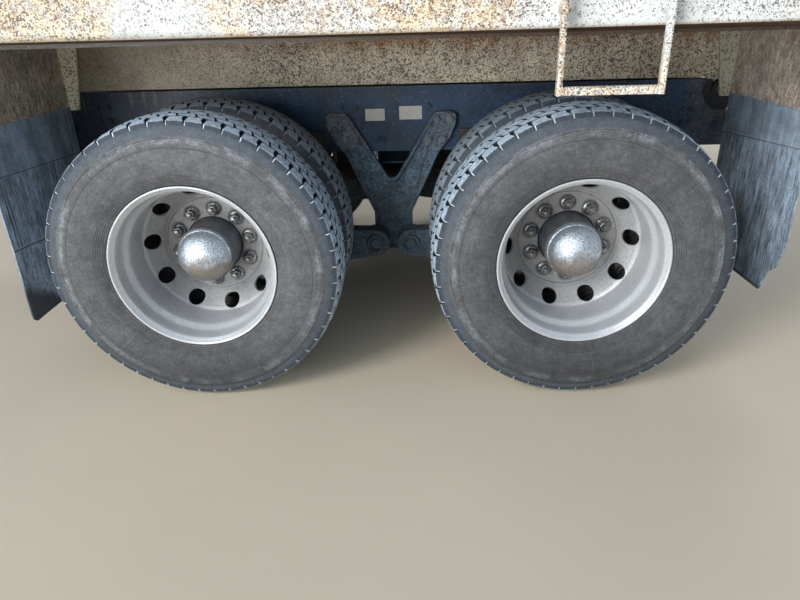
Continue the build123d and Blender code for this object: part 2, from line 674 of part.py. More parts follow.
def shock_absorber():
    """A shock absorber with its upper bracket on the rail's web."""
    top = Vector(SHOCK_TOP_X, ARM_Y, SHOCK_TOP_Z)
    foot = Vector(SHOCK_FOOT_X, ARM_Y, SHOCK_FOOT_Z)
    split = top + (foot - top) * SHOCK_SPLIT
    half_eye = SHOCK_EYE_WIDTH / 2
    shock = rod_between(top, split, SHOCK_SHROUD_RADIUS)
    shock += rod_between(split, foot, SHOCK_BODY_RADIUS)
    for point in (top, foot):
        shock -= across(SHOCK_SHROUD_RADIUS + SHOCK_EYE_SHOULDER, point.X, point.Z, ARM_INNER_Y, ARM_OUTER_Y)
        shock += across(SHOCK_SHROUD_RADIUS + SHOCK_EYE_SHOULDER, point.X, point.Z, ARM_Y - half_eye, ARM_Y + half_eye)
    shock += across(SHOCK_PIN_RADIUS, SHOCK_FOOT_X, SHOCK_FOOT_Z, ARM_INNER_Y, ARM_OUTER_Y)
    shock += across(SHOCK_EYE_RADIUS, SHOCK_TOP_X, SHOCK_TOP_Z, WEB_Y, ARM_Y + half_eye + SHOCK_PIN_END)
    bracket_x = (SHOCK_TOP_X - SHOCK_BRACKET_WIDTH / 2, SHOCK_TOP_X + SHOCK_BRACKET_WIDTH / 2)
    bracket_z = (SHOCK_TOP_Z - SHOCK_BRACKET_HEIGHT / 2, SHOCK_TOP_Z + SHOCK_BRACKET_HEIGHT / 2)
    shock += block(bracket_x, (WEB_Y, WEB_Y + HANGER_PLATE), bracket_z)
    return shock


def torque_rods():
    """The V rods of the rear axle: from a post on its housing out to both rails."""
    apex = (REAR_AXLE_X, 0, HUB_Z + ROD_APEX_ABOVE_HUB)
    rods = Pos(*apex) * Cylinder(ROD_APEX_RADIUS, 2 * (ROD_APEX_ABOVE_HUB - BANJO_RADIUS))
    end_y = WEB_INNER_Y - ROD_BRACKET_DEPTH
    end_z = HUB_Z + ROD_FRAME_ABOVE_HUB
    for way in (-1, 1):
        end = (ROD_FRAME_X, way * end_y, end_z)
        rods += rod_between(apex, end, ROD_RADIUS)
        rods += Pos(*end) * Cylinder(ROD_END_RADIUS, 2 * ROD_RADIUS)
        bracket_y = sorted((way * end_y, way * WEB_INNER_Y))
        half = ROD_BRACKET_LENGTH / 2
        rods += block((ROD_FRAME_X - half, ROD_FRAME_X + half), bracket_y, (end_z - half, end_z + half))
    return rods


def brake_chamber():
    """A brake chamber on its bracket, with the tube of the cam shaft out to the drum."""
    start = REAR_AXLE_X - CHAMBER_FROM_AXLE
    z = HUB_Z + CHAMBER_ABOVE_HUB
    band = CHAMBER_LENGTH / 2
    place = Plane(origin=(start, CHAMBER_Y, z), z_dir=(-1, 0, 0))
    chamber = place * extrude(Circle(CHAMBER_RADIUS), CHAMBER_LENGTH)
    middle = Plane(origin=(start - band + CHAMBER_BAND_WIDTH / 2, CHAMBER_Y, z), z_dir=(-1, 0, 0))
    chamber += middle * extrude(Circle(CHAMBER_BAND_RADIUS), CHAMBER_BAND_WIDTH)
    plate_x = (start, start + CHAMBER_BRACKET_PLATE)
    plate_y = (CHAMBER_Y - CHAMBER_RADIUS, CHAMBER_Y + CHAMBER_RADIUS)
    chamber += block(plate_x, plate_y, (HUB_Z, z + CHAMBER_RADIUS))
    web_x = (start, REAR_AXLE_X)
    web_y = (CHAMBER_Y - CHAMBER_BRACKET_PLATE / 2, CHAMBER_Y + CHAMBER_BRACKET_PLATE / 2)
    chamber += block(web_x, web_y, (HUB_Z, HUB_Z + CHAMBER_ABOVE_HUB))
    cam_z = HUB_Z + CHAMBER_ABOVE_HUB - CHAMBER_RADIUS / 2
    plate_inner = DRUM_OPEN_Y - BACKING_PLATE_GAP - BACKING_PLATE_THICKNESS
    chamber += across(CAM_TUBE_RADIUS, start + CHAMBER_BRACKET_PLATE / 2, cam_z, CHAMBER_Y, plate_inner)
    return chamber - across(AXLE_TUBE_RADIUS, REAR_AXLE_X, HUB_Z, 0, plate_inner)


def flap_set(plate_x, way, bottom_below_hub):
    """A steel flap plate with its leg and angle, and the rubber flap behind it.

    way is 1 at the rear and -1 at the front, and points from the wheels to the flap.
    """

    def span(first, second):
        return tuple(sorted((plate_x + way * first, plate_x + way * second)))

    rubber_back = FLAP_PLATE + FLAP_RUBBER
    angle_back = rubber_back + FLAP_ANGLE_PLATE
    leg_inner_y = WEB_Y + LEG_FROM_WEB
    plate_z = (HUB_Z + FLAP_PLATE_BOTTOM_ABOVE_HUB, HUB_Z + FLAP_PLATE_TOP_ABOVE_HUB)
    plate = block(span(0, FLAP_PLATE), (leg_inner_y, FLAP_OUTER_Y), plate_z)
    leg_points = [
        (plate_x, HUB_Z + LEG_TOP_ABOVE_HUB),
        (plate_x - way * LEG_TOP_WIDTH, HUB_Z + LEG_TOP_ABOVE_HUB),
        (plate_x - way * LEG_BOTTOM_WIDTH, HUB_Z + LEG_BOTTOM_ABOVE_HUB),
        (plate_x, HUB_Z + LEG_BOTTOM_ABOVE_HUB),
    ]
    plate += side_plate(outline_of(leg_points), leg_inner_y, leg_inner_y + LEG_THICKNESS)
    rubber = block(
        span(FLAP_PLATE, rubber_back),
        (FLAP_INNER_Y, FLAP_OUTER_Y),
        (HUB_Z - bottom_below_hub, plate_z[0] + FLAP_CLAMP),
    )
    foot_low = FRAME_BOTTOM_Z + FLAP_ANGLE_ABOVE_FRAME_BOTTOM
    angle = block(
        span(rubber_back, angle_back),
        (WEB_Y, WEB_Y + FLAP_ANGLE_REACH),
        (foot_low, plate_z[0] + FLAP_CLAMP),
    )
    angle += block(
        span(rubber_back, rubber_back + FLAP_ANGLE_FOOT),
        (WEB_Y, WEB_Y + FLAP_ANGLE_PLATE),
        (foot_low, foot_low + FLAP_ANGLE_FOOT_HEIGHT),
    )
    return plate, angle, rubber


def mud_flaps():
    """A flap before the front wheels and one behind the rear wheels, on each side."""
    front = flap_set(FRONT_FLAP_X, -1, FRONT_FLAP_BELOW_HUB)
    rear = flap_set(REAR_FLAP_X, 1, REAR_FLAP_BELOW_HUB)
    keep_pair("flap_brackets", front[0], front[1], rear[0], rear[1])
    keep_pair("mud_flaps", front[2], rear[2])


def hinge_bracket():
    """A plate inside the rail's end that carries the hinge shaft."""
    low = FRAME_BOTTOM_Z + FRAME_THICKNESS
    base = low + HINGE_BRACKET_BASE_HEIGHT
    points = [
        (HINGE_X - HINGE_BRACKET_HALF_LENGTH, low),
        (FRAME_REAR_X - CROSSMEMBER_FLANGE - HINGE_BRACKET_REAR_MARGIN, low),
        (HINGE_X + HINGE_BRACKET_BOSS_RADIUS, HINGE_Z),
        (HINGE_X - HINGE_BRACKET_BOSS_RADIUS, HINGE_Z),
        (HINGE_X - HINGE_BRACKET_HALF_LENGTH, base),
    ]
    inner_y = WEB_INNER_Y - HINGE_BRACKET_THICKNESS
    bracket = side_plate(outline_of(points), inner_y, WEB_INNER_Y)
    bracket += across(HINGE_BRACKET_BOSS_RADIUS, HINGE_X, HINGE_Z, inner_y, WEB_INNER_Y)
    return bracket - across(HINGE_SHAFT_RADIUS, HINGE_X, HINGE_Z, inner_y, WEB_INNER_Y)


def long_sill():
    """A channel sill of the body, open inwards, with the lug that turns on the shaft."""
    x = (BODY_FRONT_X, BODY_REAR_X)
    inner_y = WEB_Y - SILL_WIDTH
    sill = block(x, (inner_y, WEB_Y), (SILL_BOTTOM_Z, SILL_TOP_Z))
    sill -= block(x, (inner_y, WEB_Y - SILL_WALL), (SILL_BOTTOM_Z + SILL_WALL, SILL_TOP_Z - SILL_WALL))
    lug_outer = WEB_INNER_Y - HINGE_BRACKET_THICKNESS - HINGE_LUG_GAP
    lug_inner = lug_outer - HINGE_LUG_THICKNESS
    points = [
        (HINGE_X - HINGE_LUG_HALF_LENGTH, SILL_BOTTOM_Z),
        (HINGE_X + HINGE_LUG_HALF_LENGTH, SILL_BOTTOM_Z),
        (HINGE_X + HINGE_LUG_BOSS_RADIUS, HINGE_Z),
        (HINGE_X - HINGE_LUG_BOSS_RADIUS, HINGE_Z),
    ]
    sill += side_plate(outline_of(points), lug_inner, lug_outer)
    sill += across(HINGE_LUG_BOSS_RADIUS, HINGE_X, HINGE_Z, lug_inner, lug_outer)
    return sill - across(HINGE_SHAFT_RADIUS + HINGE_CLEARANCE, HINGE_X, HINGE_Z, lug_inner, lug_outer)


def cross_sills():
    """The channels that lie across the long sills and carry the floor."""
    first = BODY_FRONT_X + CROSS_SILL_END_MARGIN
    last = BODY_REAR_X - CROSS_SILL_END_MARGIN - CROSS_SILL_FLANGE
    pitch = (last - first) / (CROSS_SILLS - 1)
    beams = []
    for index in range(CROSS_SILLS):
        x = first + index * pitch
        beams.append(
            channel_across(
                (x, x + CROSS_SILL_FLANGE),
                (SILL_TOP_Z, FLOOR_BOTTOM_Z),
                RAIL_INNER_Y,
                1,
                CROSS_SILL_WALL,
            )
        )
    return beams


def side_rail():
    """The body's bottom side rail: a closed section with a rounded lower edge and a lip."""
    low = HUB_Z + RAIL_BOTTOM_ABOVE_HUB
    high = low + RAIL_HEIGHT
    section = make_face(
        Polyline((RAIL_INNER_Y, low), (RAIL_OUTER_Y, low), (RAIL_OUTER_Y, high), (RAIL_INNER_Y, high), close=True)
    )
    section = fillet(section.vertices().sort_by(Axis.Y)[:2].sort_by(Axis.X)[-1], RAIL_EDGE_RADIUS)
    section -= offset(section, -RAIL_WALL)
    lip_y = RAIL_OUTER_Y - RAIL_LIP_INSET
    section += make_face(
        Polyline(
            (lip_y - RAIL_WALL, low),
            (lip_y, low),
            (lip_y, low - RAIL_LIP_DEPTH),
            (lip_y - RAIL_WALL, low - RAIL_LIP_DEPTH),
            close=True,
        )
    )
    return Pos(BODY_FRONT_X, 0, 0) * extrude(Plane.YZ * section, BODY_REAR_X - BODY_FRONT_X, dir=(1, 0, 0))


def access_step():
    """A loop of bars on the side rail's face, with one rung."""
    inner_y = RAIL_OUTER_Y + STEP_STANDOFF
    y = (inner_y, inner_y + STEP_BAR)
    low = HUB_Z + STEP_BOTTOM_ABOVE_HUB
    high = HUB_Z + STEP_TOP_ABOVE_HUB
    step = block((STEP_FRONT_X, STEP_REAR_X), y, (low, low + STEP_BAR))
    fixing_lows = (HUB_Z + STEP_LOW_FIXING_ABOVE_HUB, high - STEP_BAR)
    for x in ((STEP_FRONT_X, STEP_FRONT_X + STEP_UPRIGHT_WIDTH), (STEP_REAR_X - STEP_UPRIGHT_WIDTH, STEP_REAR_X)):
        step += block(x, y, (low, high))
        for fixing in fixing_lows:
            step += block(x, (RAIL_OUTER_Y, inner_y), (fixing, fixing + STEP_BAR))
    return step


def build_all():
    """Make every node of the part."""
    wheel_stations()
    keep("front_axle_housing", axle_housing(FRONT_AXLE_X, True))
    keep("rear_axle_housing", axle_housing(REAR_AXLE_X, False))
    keep("propshaft", propshaft())
    keep_pair("frame_rail", frame_rail())
    keep("frame_crossmembers", *frame_crossmembers())
    keep_pair("centre_hanger", centre_hanger())
    keep_pair("support_arms", *both_ends(support_arm()))
    keep("air_springs", *[piece for end in both_ends(air_spring()) for piece in both_sides(end)])
    keep("shock_absorbers", *[piece for end in both_ends(shock_absorber()) for piece in both_sides(end)])
    keep("torque_rods", *both_ends(torque_rods()))
    keep("brake_chambers", *[piece for end in both_ends(brake_chamber()) for piece in both_sides(end)])
    mud_flaps()
    keep("hinge_brackets", *both_sides(hinge_bracket()))
    shaft_end = WEB_INNER_Y
    keep("hinge_shaft", across(HINGE_SHAFT_RADIUS, HINGE_X, HINGE_Z, -shaft_end, shaft_end))
    keep("long_sills", *both_sides(long_sill()))
    keep("cross_sills", *cross_sills())
    floor_z = (FLOOR_BOTTOM_Z, FLOOR_BOTTOM_Z + FLOOR_THICKNESS)
    keep("floor_plate", block((BODY_FRONT_X, BODY_REAR_X), (-RAIL_INNER_Y, RAIL_INNER_Y), floor_z))
    keep_pair("side_rail", side_rail())
    keep_pair("access_step", access_step())


build_all()
os.makedirs("parts", exist_ok=True)
for node, shape in NODES.items():
    export_step(shape, os.path.join("parts", node + ".step"))
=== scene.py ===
"""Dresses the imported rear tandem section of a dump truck: tread, wheels, castings, rubber, paint and rust."""
import math

import bmesh
import bpy
from mathutils import Matrix, Vector


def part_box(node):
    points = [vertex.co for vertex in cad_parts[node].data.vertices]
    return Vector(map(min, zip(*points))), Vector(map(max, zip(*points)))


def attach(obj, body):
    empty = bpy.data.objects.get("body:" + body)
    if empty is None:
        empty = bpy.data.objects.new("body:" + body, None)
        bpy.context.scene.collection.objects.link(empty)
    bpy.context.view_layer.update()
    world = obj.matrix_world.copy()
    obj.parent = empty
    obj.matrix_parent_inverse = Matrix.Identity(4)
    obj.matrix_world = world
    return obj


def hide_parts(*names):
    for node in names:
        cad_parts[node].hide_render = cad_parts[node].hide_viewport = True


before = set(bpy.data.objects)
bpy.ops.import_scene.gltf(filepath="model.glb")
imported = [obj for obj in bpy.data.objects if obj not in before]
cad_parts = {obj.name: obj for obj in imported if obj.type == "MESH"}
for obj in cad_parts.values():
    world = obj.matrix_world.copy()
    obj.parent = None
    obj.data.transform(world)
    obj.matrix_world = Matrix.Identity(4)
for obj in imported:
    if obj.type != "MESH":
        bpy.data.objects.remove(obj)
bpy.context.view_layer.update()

bl_info = {
    "name": "Dump truck rear tandem section",
    "version": (1, 0, 0),
    "blender": (4, 5, 0),
    "location": "3D View > Sidebar > Tandem",
    "description": "Dresses the rear tandem section: tyres, wheels, castings, rubber, paint and rust",
    "category": "Object",
}

MM = 0.001
SIDES = {"left": -1, "right": 1}
ENDS = {"front": -1, "rear": 1}


# ---------------------------------------------------------------- sizes and colours


def length(name, description, default):
    """A size in metres that a user may change."""
    return bpy.props.FloatProperty(
        name=name, description=description, default=default, min=0.0, unit="LENGTH", precision=4,
    )


def colour(name, description, default):
    """A paint or dirt colour, as it looks on a screen."""
    return bpy.props.FloatVectorProperty(
        name=name, description=description, default=default, size=3, min=0.0, max=1.0, subtype="COLOR_GAMMA",
    )


class TandemSizes(bpy.types.PropertyGroup):
    """Sizes of what the visual model adds to the solids."""

    tread_pitches: bpy.props.IntProperty(
        name="Tread pitches", description="Times the tread pattern repeats round a tyre", default=52, min=30,
        max=70,
    )
    tread_depth: length("Tread depth", "Depth of the tread's grooves", 0.013)
    groove_width: length("Groove width", "Width of the zigzag grooves round the tyre", 0.0042)
    nut_flats: length("Nut across flats", "Width of a wheel nut across its flats", 0.034)
    nut_flange: length("Nut flange", "Diameter of a wheel nut's round flange", 0.055)
    nut_height: length("Nut height", "Height of a wheel nut above the disc", 0.030)
    stud_height: length("Stud height", "How far a wheel stud stands out of the disc", 0.043)
    frame_bolt_flats: length("Frame bolt across flats", "Width of a frame bolt's head across its flats", 0.03)
    frame_bolt_height: length("Frame bolt head height", "Height of a frame bolt's head above its washer", 0.013)
    rung_tooth: length("Rung tooth", "Length of one tooth of the step's rung", 0.0092)
    flap_ridge: length("Flap ridge", "Height of the ribs moulded down the mud flaps", 0.0012)


class TandemColours(bpy.types.PropertyGroup):
    """Colours of the paints, rubbers, metals and dirt."""

    sidewall: colour("Sidewall", "Dusty rubber of the tyres' sides", (0.365, 0.370, 0.380))
    # Also used, darkened, for the painted shade on the inner tyres.
    shoulder: colour("Shoulder", "Darker rubber of the tyres' shoulders", (0.315, 0.345, 0.38))
    tread_wall: colour("Tread wall", "Rubber of the tread blocks' outer walls", (0.235, 0.27, 0.31))
    # Pale from wear; its blue tint is painted sky light on the tops.
    tread_top: colour("Tread top", "Rubber worn pale on top of the tread blocks", (0.725, 0.80, 0.865))
    # Painted shade: this near-black colour stands for the shade deep in the grooves; the shadowed hinge iron uses it
    # too.
    groove_shade: colour("Tread groove", "Rubber in the grooves", (0.09, 0.115, 0.15))
    # Also used for painted highlights on the tyres' cuts and shoulder edge and along the flaps' crease and ridges.
    chafed: colour("Chafed rubber", "Rubber chafed pale along edges and ribs", (0.74, 0.78, 0.81))
    rim: colour("Rim paint", "Silver paint of the disc wheels", (0.86, 0.875, 0.89))
    # Also used, darkened, for painted shade about the nuts, on the disc's bend and between the twin wheels.
    brake_dust: colour("Brake dust", "Brown dirt that lies on the wheels' discs", (0.40, 0.375, 0.34))
    road_dust: colour("Road dust", "Dust that lies on the wheels and the frame", (0.58, 0.54, 0.475))
    hub: colour("Hub paint", "Black paint of the hubs and drums", (0.33, 0.35, 0.38))
    nut: colour("Nut steel", "Steel of the wheel nuts and studs", (0.50, 0.51, 0.52))
    cap: colour("Cap plating", "Dulled plating of the hub caps", (0.88, 0.93, 0.98))
    chassis: colour("Chassis paint", "Dark blue paint of the frame", (0.085, 0.215, 0.325))
    bolt: colour("Bolt heads", "Bolt heads on the hangers", (0.44, 0.47, 0.50))
    casting: colour("Casting paint", "Paint of the hangers and arms", (0.26, 0.34, 0.40))
    axle: colour("Axle paint", "Paint of the axle housings and brakes", (0.17, 0.18, 0.195))
    spring_rubber: colour("Spring rubber", "Rubber of the air springs", (0.15, 0.155, 0.165))
    flap: colour("Flap rubber", "Rubber of the mud flaps", (0.525, 0.585, 0.65))
    flap_plate: colour("Flap plate", "Rusty steel plate above the flaps", (0.68, 0.64, 0.595))
    leg: colour("Leg paint", "Weathered paint of the flap plates' legs", (0.82, 0.80, 0.71))
    sill: colour("Sill paint", "Weathered paint of the body's sills", (0.87, 0.825, 0.725))
    rail: colour("Rail paint", "White paint of the body's side rails and steps", (0.91, 0.925, 0.925))
    cream: colour("Cream stain", "Warm stain in the white paint", (0.95, 0.86, 0.70))
    rust: colour("Rust", "Rust in spots and runs", (0.47, 0.32, 0.19))
    label: colour("Label", "Blank labels on the frame", (0.78, 0.77, 0.74))
    floor: colour("Floor", "Plain floor under the part", (0.895, 0.84, 0.745))


def sizes():
    """The sizes set in the panel."""
    return bpy.context.scene.tandem_sizes


def paint(name):
    """One of the colours, as the numbers a shader takes."""
    shown = getattr(bpy.context.scene.tandem_colours, name)
    return tuple(c / 12.92 if c <= 0.04045 else ((c + 0.055) / 1.055) ** 2.4 for c in shown) + (1.0,)


def paints(*names):
    """Several of the colours."""
    return [paint(name) for name in names]


def shade(tint, factor):
    """A paler or darker tint."""
    return tuple(min(1.0, c * factor) for c in tint[:3]) + (1.0,)


# ---------------------------------------------------------------- meshes


def round_about(radius, offset, turn):
    """A point of a wheel, from its radius, its offset along the axle and its turn from straight up."""
    return (radius * math.sin(turn), offset, radius * math.cos(turn))


class Shell:
    """Points in millimetres and the faces between them, gathered for one mesh."""

    def __init__(self):
        self.points = []
        self.faces = []
        self.tones = []

    def add(self, points, faces):
        """Adds faces whose corners count from the first of the given points."""
        base = len(self.points)
        self.points += [tuple(point) for point in points]
        self.faces += [tuple(base + i for i in face) for face in faces]

    def skin(self, rows, closed=False, ring=False):
        """Quads between rows of points. closed joins each row's ends, ring the last row to the first."""
        wide = len(rows[0])
        faces = []
        for i in range(len(rows) if ring else len(rows) - 1):
            below, above = i * wide, ((i + 1) % len(rows)) * wide
            for k in range(wide if closed else wide - 1):
                n = (k + 1) % wide
                faces.append((below + k, below + n, above + n, above + k))
        self.add([point for row in rows for point in row], faces)

    def solid(self, rows):
        """A closed skin over rows of points, with one face across each end."""
        self.skin(rows, closed=True)
        for row in (rows[0], rows[-1]):
            self.add(row, [tuple(range(len(row)))])

    def lathe(self, profile, steps, place, ring=False):
        """A profile of (radius, height) points turned round. place(radius, height, turn) gives a point."""
        rows = [[place(r, h, math.tau * k / steps) for k in range(steps)] for r, h in profile]
        if ring:
            self.skin(rows, closed=True, ring=True)
        else:
            self.solid(rows)

    def prism(self, outline, low, high, place, bevel=0.0):
        """An outline of (u, v) points raised from low to high, its upper edge cut by a bevel."""
        layers = [(0.0, low), (0.0, high - bevel), (bevel, high)] if bevel else [(0.0, low), (0.0, high)]
        self.layered(outline, layers, place)

    def layered(self, outline, layers, place):
        """An outline moved inwards by each layer's first number at its second. place(u, v, w) gives a point."""
        self.solid([[place(u, v, w) for u, v in (inset(outline, d) if d else outline)] for d, w in layers])

    def mesh(self, name, outward=True):
        """The mesh in metres, with its tones as an attribute."""
        made = bpy.data.meshes.new(name)
        made.from_pydata([(x * MM, y * MM, z * MM) for x, y, z in self.points], [], self.faces)
        if self.tones:
            made.attributes.new("tone", "FLOAT", "FACE").data.foreach_set("value", self.tones)
        tidy(made, outward)
        return made


def tidy(mesh, outward=True, sharp=32.0):
    """Merges doubles, turns the faces outwards and marks the sharp edges."""
    work = bmesh.new()
    work.from_mesh(mesh)
    bmesh.ops.remove_doubles(work, verts=work.verts, dist=0.00002)
    if outward:
        bmesh.ops.recalc_face_normals(work, faces=work.faces)
    work.to_mesh(mesh)
    work.free()
    mesh.shade_smooth()
    mesh.set_sharp_from_angle(angle=math.radians(sharp))


def inset(outline, distance):
    """A closed outline moved inwards all round."""
    area = sum(a[0] * b[1] - b[0] * a[1] for a, b in zip(outline, outline[1:] + outline[:1]))
    way = 1.0 if area > 0 else -1.0
    moved = []
    for before, here, after in zip(outline[-1:] + outline[:-1], outline, outline[1:] + outline[:1]):
        first = Vector((here[0] - before[0], here[1] - before[1])).normalized()
        second = Vector((after[0] - here[0], after[1] - here[1])).normalized()
        normal = (Vector((-first.y, first.x)) + Vector((-second.y, second.x))) * way
        normal = normal / max(0.2, normal.length_squared / 2)
        moved.append((here[0] + normal.x * distance, here[1] + normal.y * distance))
    return moved


def rounded(corners, radius, steps=5):
    """A closed outline with its corners rounded."""
    outline = []
    for before, here, after in zip(corners[-1:] + corners[:-1], corners, corners[1:] + corners[:1]):
        here = Vector(here)
        to_before, to_after = (Vector(before) - here).normalized(), (Vector(after) - here).normalized()
        half = to_before.angle(to_after) / 2
        reach = radius / math.tan(half)
        centre = here + (to_before + to_after).normalized() * radius / math.sin(half)
        start, end = here + to_before * reach - centre, here + to_after * reach - centre
        swing = start.angle_signed(end)
        for k in range(steps + 1):
            turn = -swing * k / steps
            outline.append((
                centre.x + start.x * math.cos(turn) - start.y * math.sin(turn),
                centre.y + start.x * math.sin(turn) + start.y * math.cos(turn),
            ))
    return outline


def hexagon(across_flats):
    """A hexagon's outline, from its width across flats."""
    reach = across_flats / math.sqrt(3)
    return [(reach * math.cos(math.tau * k / 6), reach * math.sin(math.tau * k / 6)) for k in range(6)]


def oblong(us, vs):
    """A rectangle's outline, from the ends of its two sides."""
    return [(us[0], vs[0]), (us[1], vs[0]), (us[1], vs[1]), (us[0], vs[1])]


def upright(u, v, w):
    """The place of an outline that lies flat and is raised along Z."""
    return u, v, w


def across(way):
    """A place function for outlines drawn in X and Z and raised along Y on one side."""
    return lambda u, v, w: (u, way * w, v)


def about(u, v, place, squash=1.0):
    """A place function for a lathe that stands at a spot of a face."""
    return lambda r, h, turn: place(u + r * math.sin(turn), v + squash * r * math.cos(turn), h)


def linked(name, mesh, finish=None):
    """A new object in the scene, with one material."""
    thing = bpy.data.objects.new(name, mesh)
    bpy.context.scene.collection.objects.link(thing)
    if finish:
        mesh.materials.clear()
        mesh.materials.append(finish)
    return thing


def seat(name, mesh, finish, body, slot, *nodes):
    """Puts a finished mesh on its body, for the nodes it stands for. The slot is not used."""
    piece = linked(name, mesh, finish)
    if nodes:
        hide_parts(*nodes)
    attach(piece, body)
    return piece


# ---------------------------------------------------------------- node trees


class Value:
    """A socket of a node tree that sums can be written with."""

    def __init__(self, nodes, socket):
        self.nodes, self.socket = nodes, socket

    def __add__(self, other):
        return self.nodes.maths("ADD", self, other)

    def __sub__(self, other):
        return self.nodes.maths("SUBTRACT", self, other)

    def __rsub__(self, other):
        return self.nodes.maths("SUBTRACT", other, self)

    def __mul__(self, other):
        return self.nodes.maths("MULTIPLY", self, other)

    def __abs__(self):
        return self.nodes.maths("ABSOLUTE", self, 0.0)

    __radd__, __rmul__ = __add__, __mul__


class Nodes:
    """A node tree, put together with short calls."""

    def __init__(self, tree):
        self.tree = tree

    def node(self, kind, feeds=(), output=0, **settings):
        """A new node with its inputs fed; gives one of its outputs."""
        made = self.tree.nodes.new(kind)
        for key, value in settings.items():
            setattr(made, key, value)
        for socket, value in dict(feeds).items():
            self.feed(made.inputs[socket], value)
        return Value(self, made.outputs[output])

    def feed(self, socket, value):
        """Links a value to a socket, or sets the socket to a number."""
        if isinstance(value, Value):
            self.tree.links.new(value.socket, socket)
        else:
            socket.default_value = value

    def maths(self, operation, first, second=0.0):
        """A Math node."""
        return self.node("ShaderNodeMath", {0: first, 1: second}, operation=operation)

    def part(self, vector, axis):
        """One part of a vector."""
        return self.node("ShaderNodeSeparateXYZ", {0: vector}, axis)

    def joined(self, x, y, z):
        """A vector of three values."""
        return self.node("ShaderNodeCombineXYZ", {"X": x, "Y": y, "Z": z})

    def mix(self, amount, first, second, how="MIX"):
        """Goes from the first colour to the second by the amount."""
        return self.node("ShaderNodeMix", {0: amount, 6: first, 7: second}, 2, data_type="RGBA", blend_type=how)


class Tree(Nodes):
    """A Geometry Nodes tree with named inputs, a finish among them."""

    def __init__(self, name, **inputs):
        super().__init__(bpy.data.node_groups.new(name, "GeometryNodeTree"))
        new_socket = self.tree.interface.new_socket
        for label, kind in {"Geometry": "Geometry", **inputs, "Finish": "Material"}.items():
            new_socket(label, in_out="INPUT", socket_type="NodeSocket" + kind)
        new_socket("Geometry", in_out="OUTPUT", socket_type="NodeSocketGeometry")
        self.group_inputs = self.tree.nodes.new("NodeGroupInput").outputs

    def given(self, name):
        """The value of one of the tree's inputs."""
        return Value(self, self.group_inputs[name])

    def finished(self, geometry):
        """Ends the tree with plain geometry in its material."""
        real = self.node("GeometryNodeRealizeInstances", {"Geometry": geometry})
        merged = self.node("GeometryNodeMergeByDistance", {"Geometry": real, "Distance": 0.00003})
        dressed = self.node("GeometryNodeSetMaterial", {"Geometry": merged, "Material": self.given("Finish")})
        self.feed(self.tree.nodes.new("NodeGroupOutput").inputs[0], dressed)
        return self.tree


def ring_tree(name):
    """One sector of a wheel, repeated round its axle."""
    tree = Tree(name, **{"Count": "Int", "First turn": "Float"})
    count = tree.given("Count")
    turn = tree.node("GeometryNodeInputIndex") * tree.maths("DIVIDE", math.tau, count) + tree.given("First turn")
    feeds = {"Points": tree.node("GeometryNodePoints", {"Count": count}), "Instance": tree.given("Geometry")}
    feeds["Rotation"] = tree.joined(0.0, turn, 0.0)
    return tree.finished(tree.node("GeometryNodeInstanceOnPoints", feeds))


def places_tree(name):
    """A copy of one piece at each point of a mesh, turned and sized by the point's attributes."""
    tree = Tree(name, Copy="Object")
    feeds = {"Points": tree.given("Geometry")}
    feeds["Instance"] = tree.node("GeometryNodeObjectInfo", {"Object": tree.given("Copy")}, "Geometry")
    for socket, attribute, kind in (("Rotation", "turn", "FLOAT_VECTOR"), ("Scale", "size", "FLOAT")):
        feeds[socket] = tree.node("GeometryNodeInputNamedAttribute", {"Name": attribute}, data_type=kind)
    return tree.finished(tree.node("GeometryNodeInstanceOnPoints", feeds))


def shared_tree(name, make):
    """A Geometry Nodes tree, made the first time it is asked for."""
    return bpy.data.node_groups.get(name) or make(name)


def plain(thing, tree, values):
    """Runs a tree on an object with the given inputs and returns the result as a mesh; the object is removed."""
    modifier = thing.modifiers.new(tree.name, "NODES")
    modifier.node_group = tree
    for item in tree.interface.items_tree:
        if item.in_out == "INPUT" and item.name in values:
            modifier[item.identifier] = values[item.name]
    bpy.context.view_layer.update()
    made = bpy.data.meshes.new_from_object(thing.evaluated_get(bpy.context.evaluated_depsgraph_get()))
    bpy.data.objects.remove(thing)
    return made


def ringed(sector, count, first_turn, finish, sharp=32.0):
    """A whole ring made of one sector."""
    tree = shared_tree("Ring of sectors", ring_tree)
    mesh = plain(linked("sector", sector), tree, {"Count": count, "First turn": first_turn, "Finish": finish})
    tidy(mesh, sharp=sharp)
    return mesh


def placed(copy, places, finish):
    """Copies of a piece at (point in metres, rotation, size) places, as one mesh."""
    spots = bpy.data.meshes.new("places")
    spots.from_pydata([place for place, _, _ in places], [], [])
    spots.attributes.new("turn", "FLOAT_VECTOR", "POINT").data.foreach_set(
        "vector", [c for _, turn, _ in places for c in turn]
    )
    spots.attributes.new("size", "FLOAT", "POINT").data.foreach_set("value", [size for _, _, size in places])
    master = linked("copy", copy)
    mesh = plain(
        linked("places", spots), shared_tree("Copies at places", places_tree),
        {"Copy": master, "Finish": finish},
    )
    bpy.data.objects.remove(master)
    tidy(mesh)
    return mesh


# ---------------------------------------------------------------- finishes


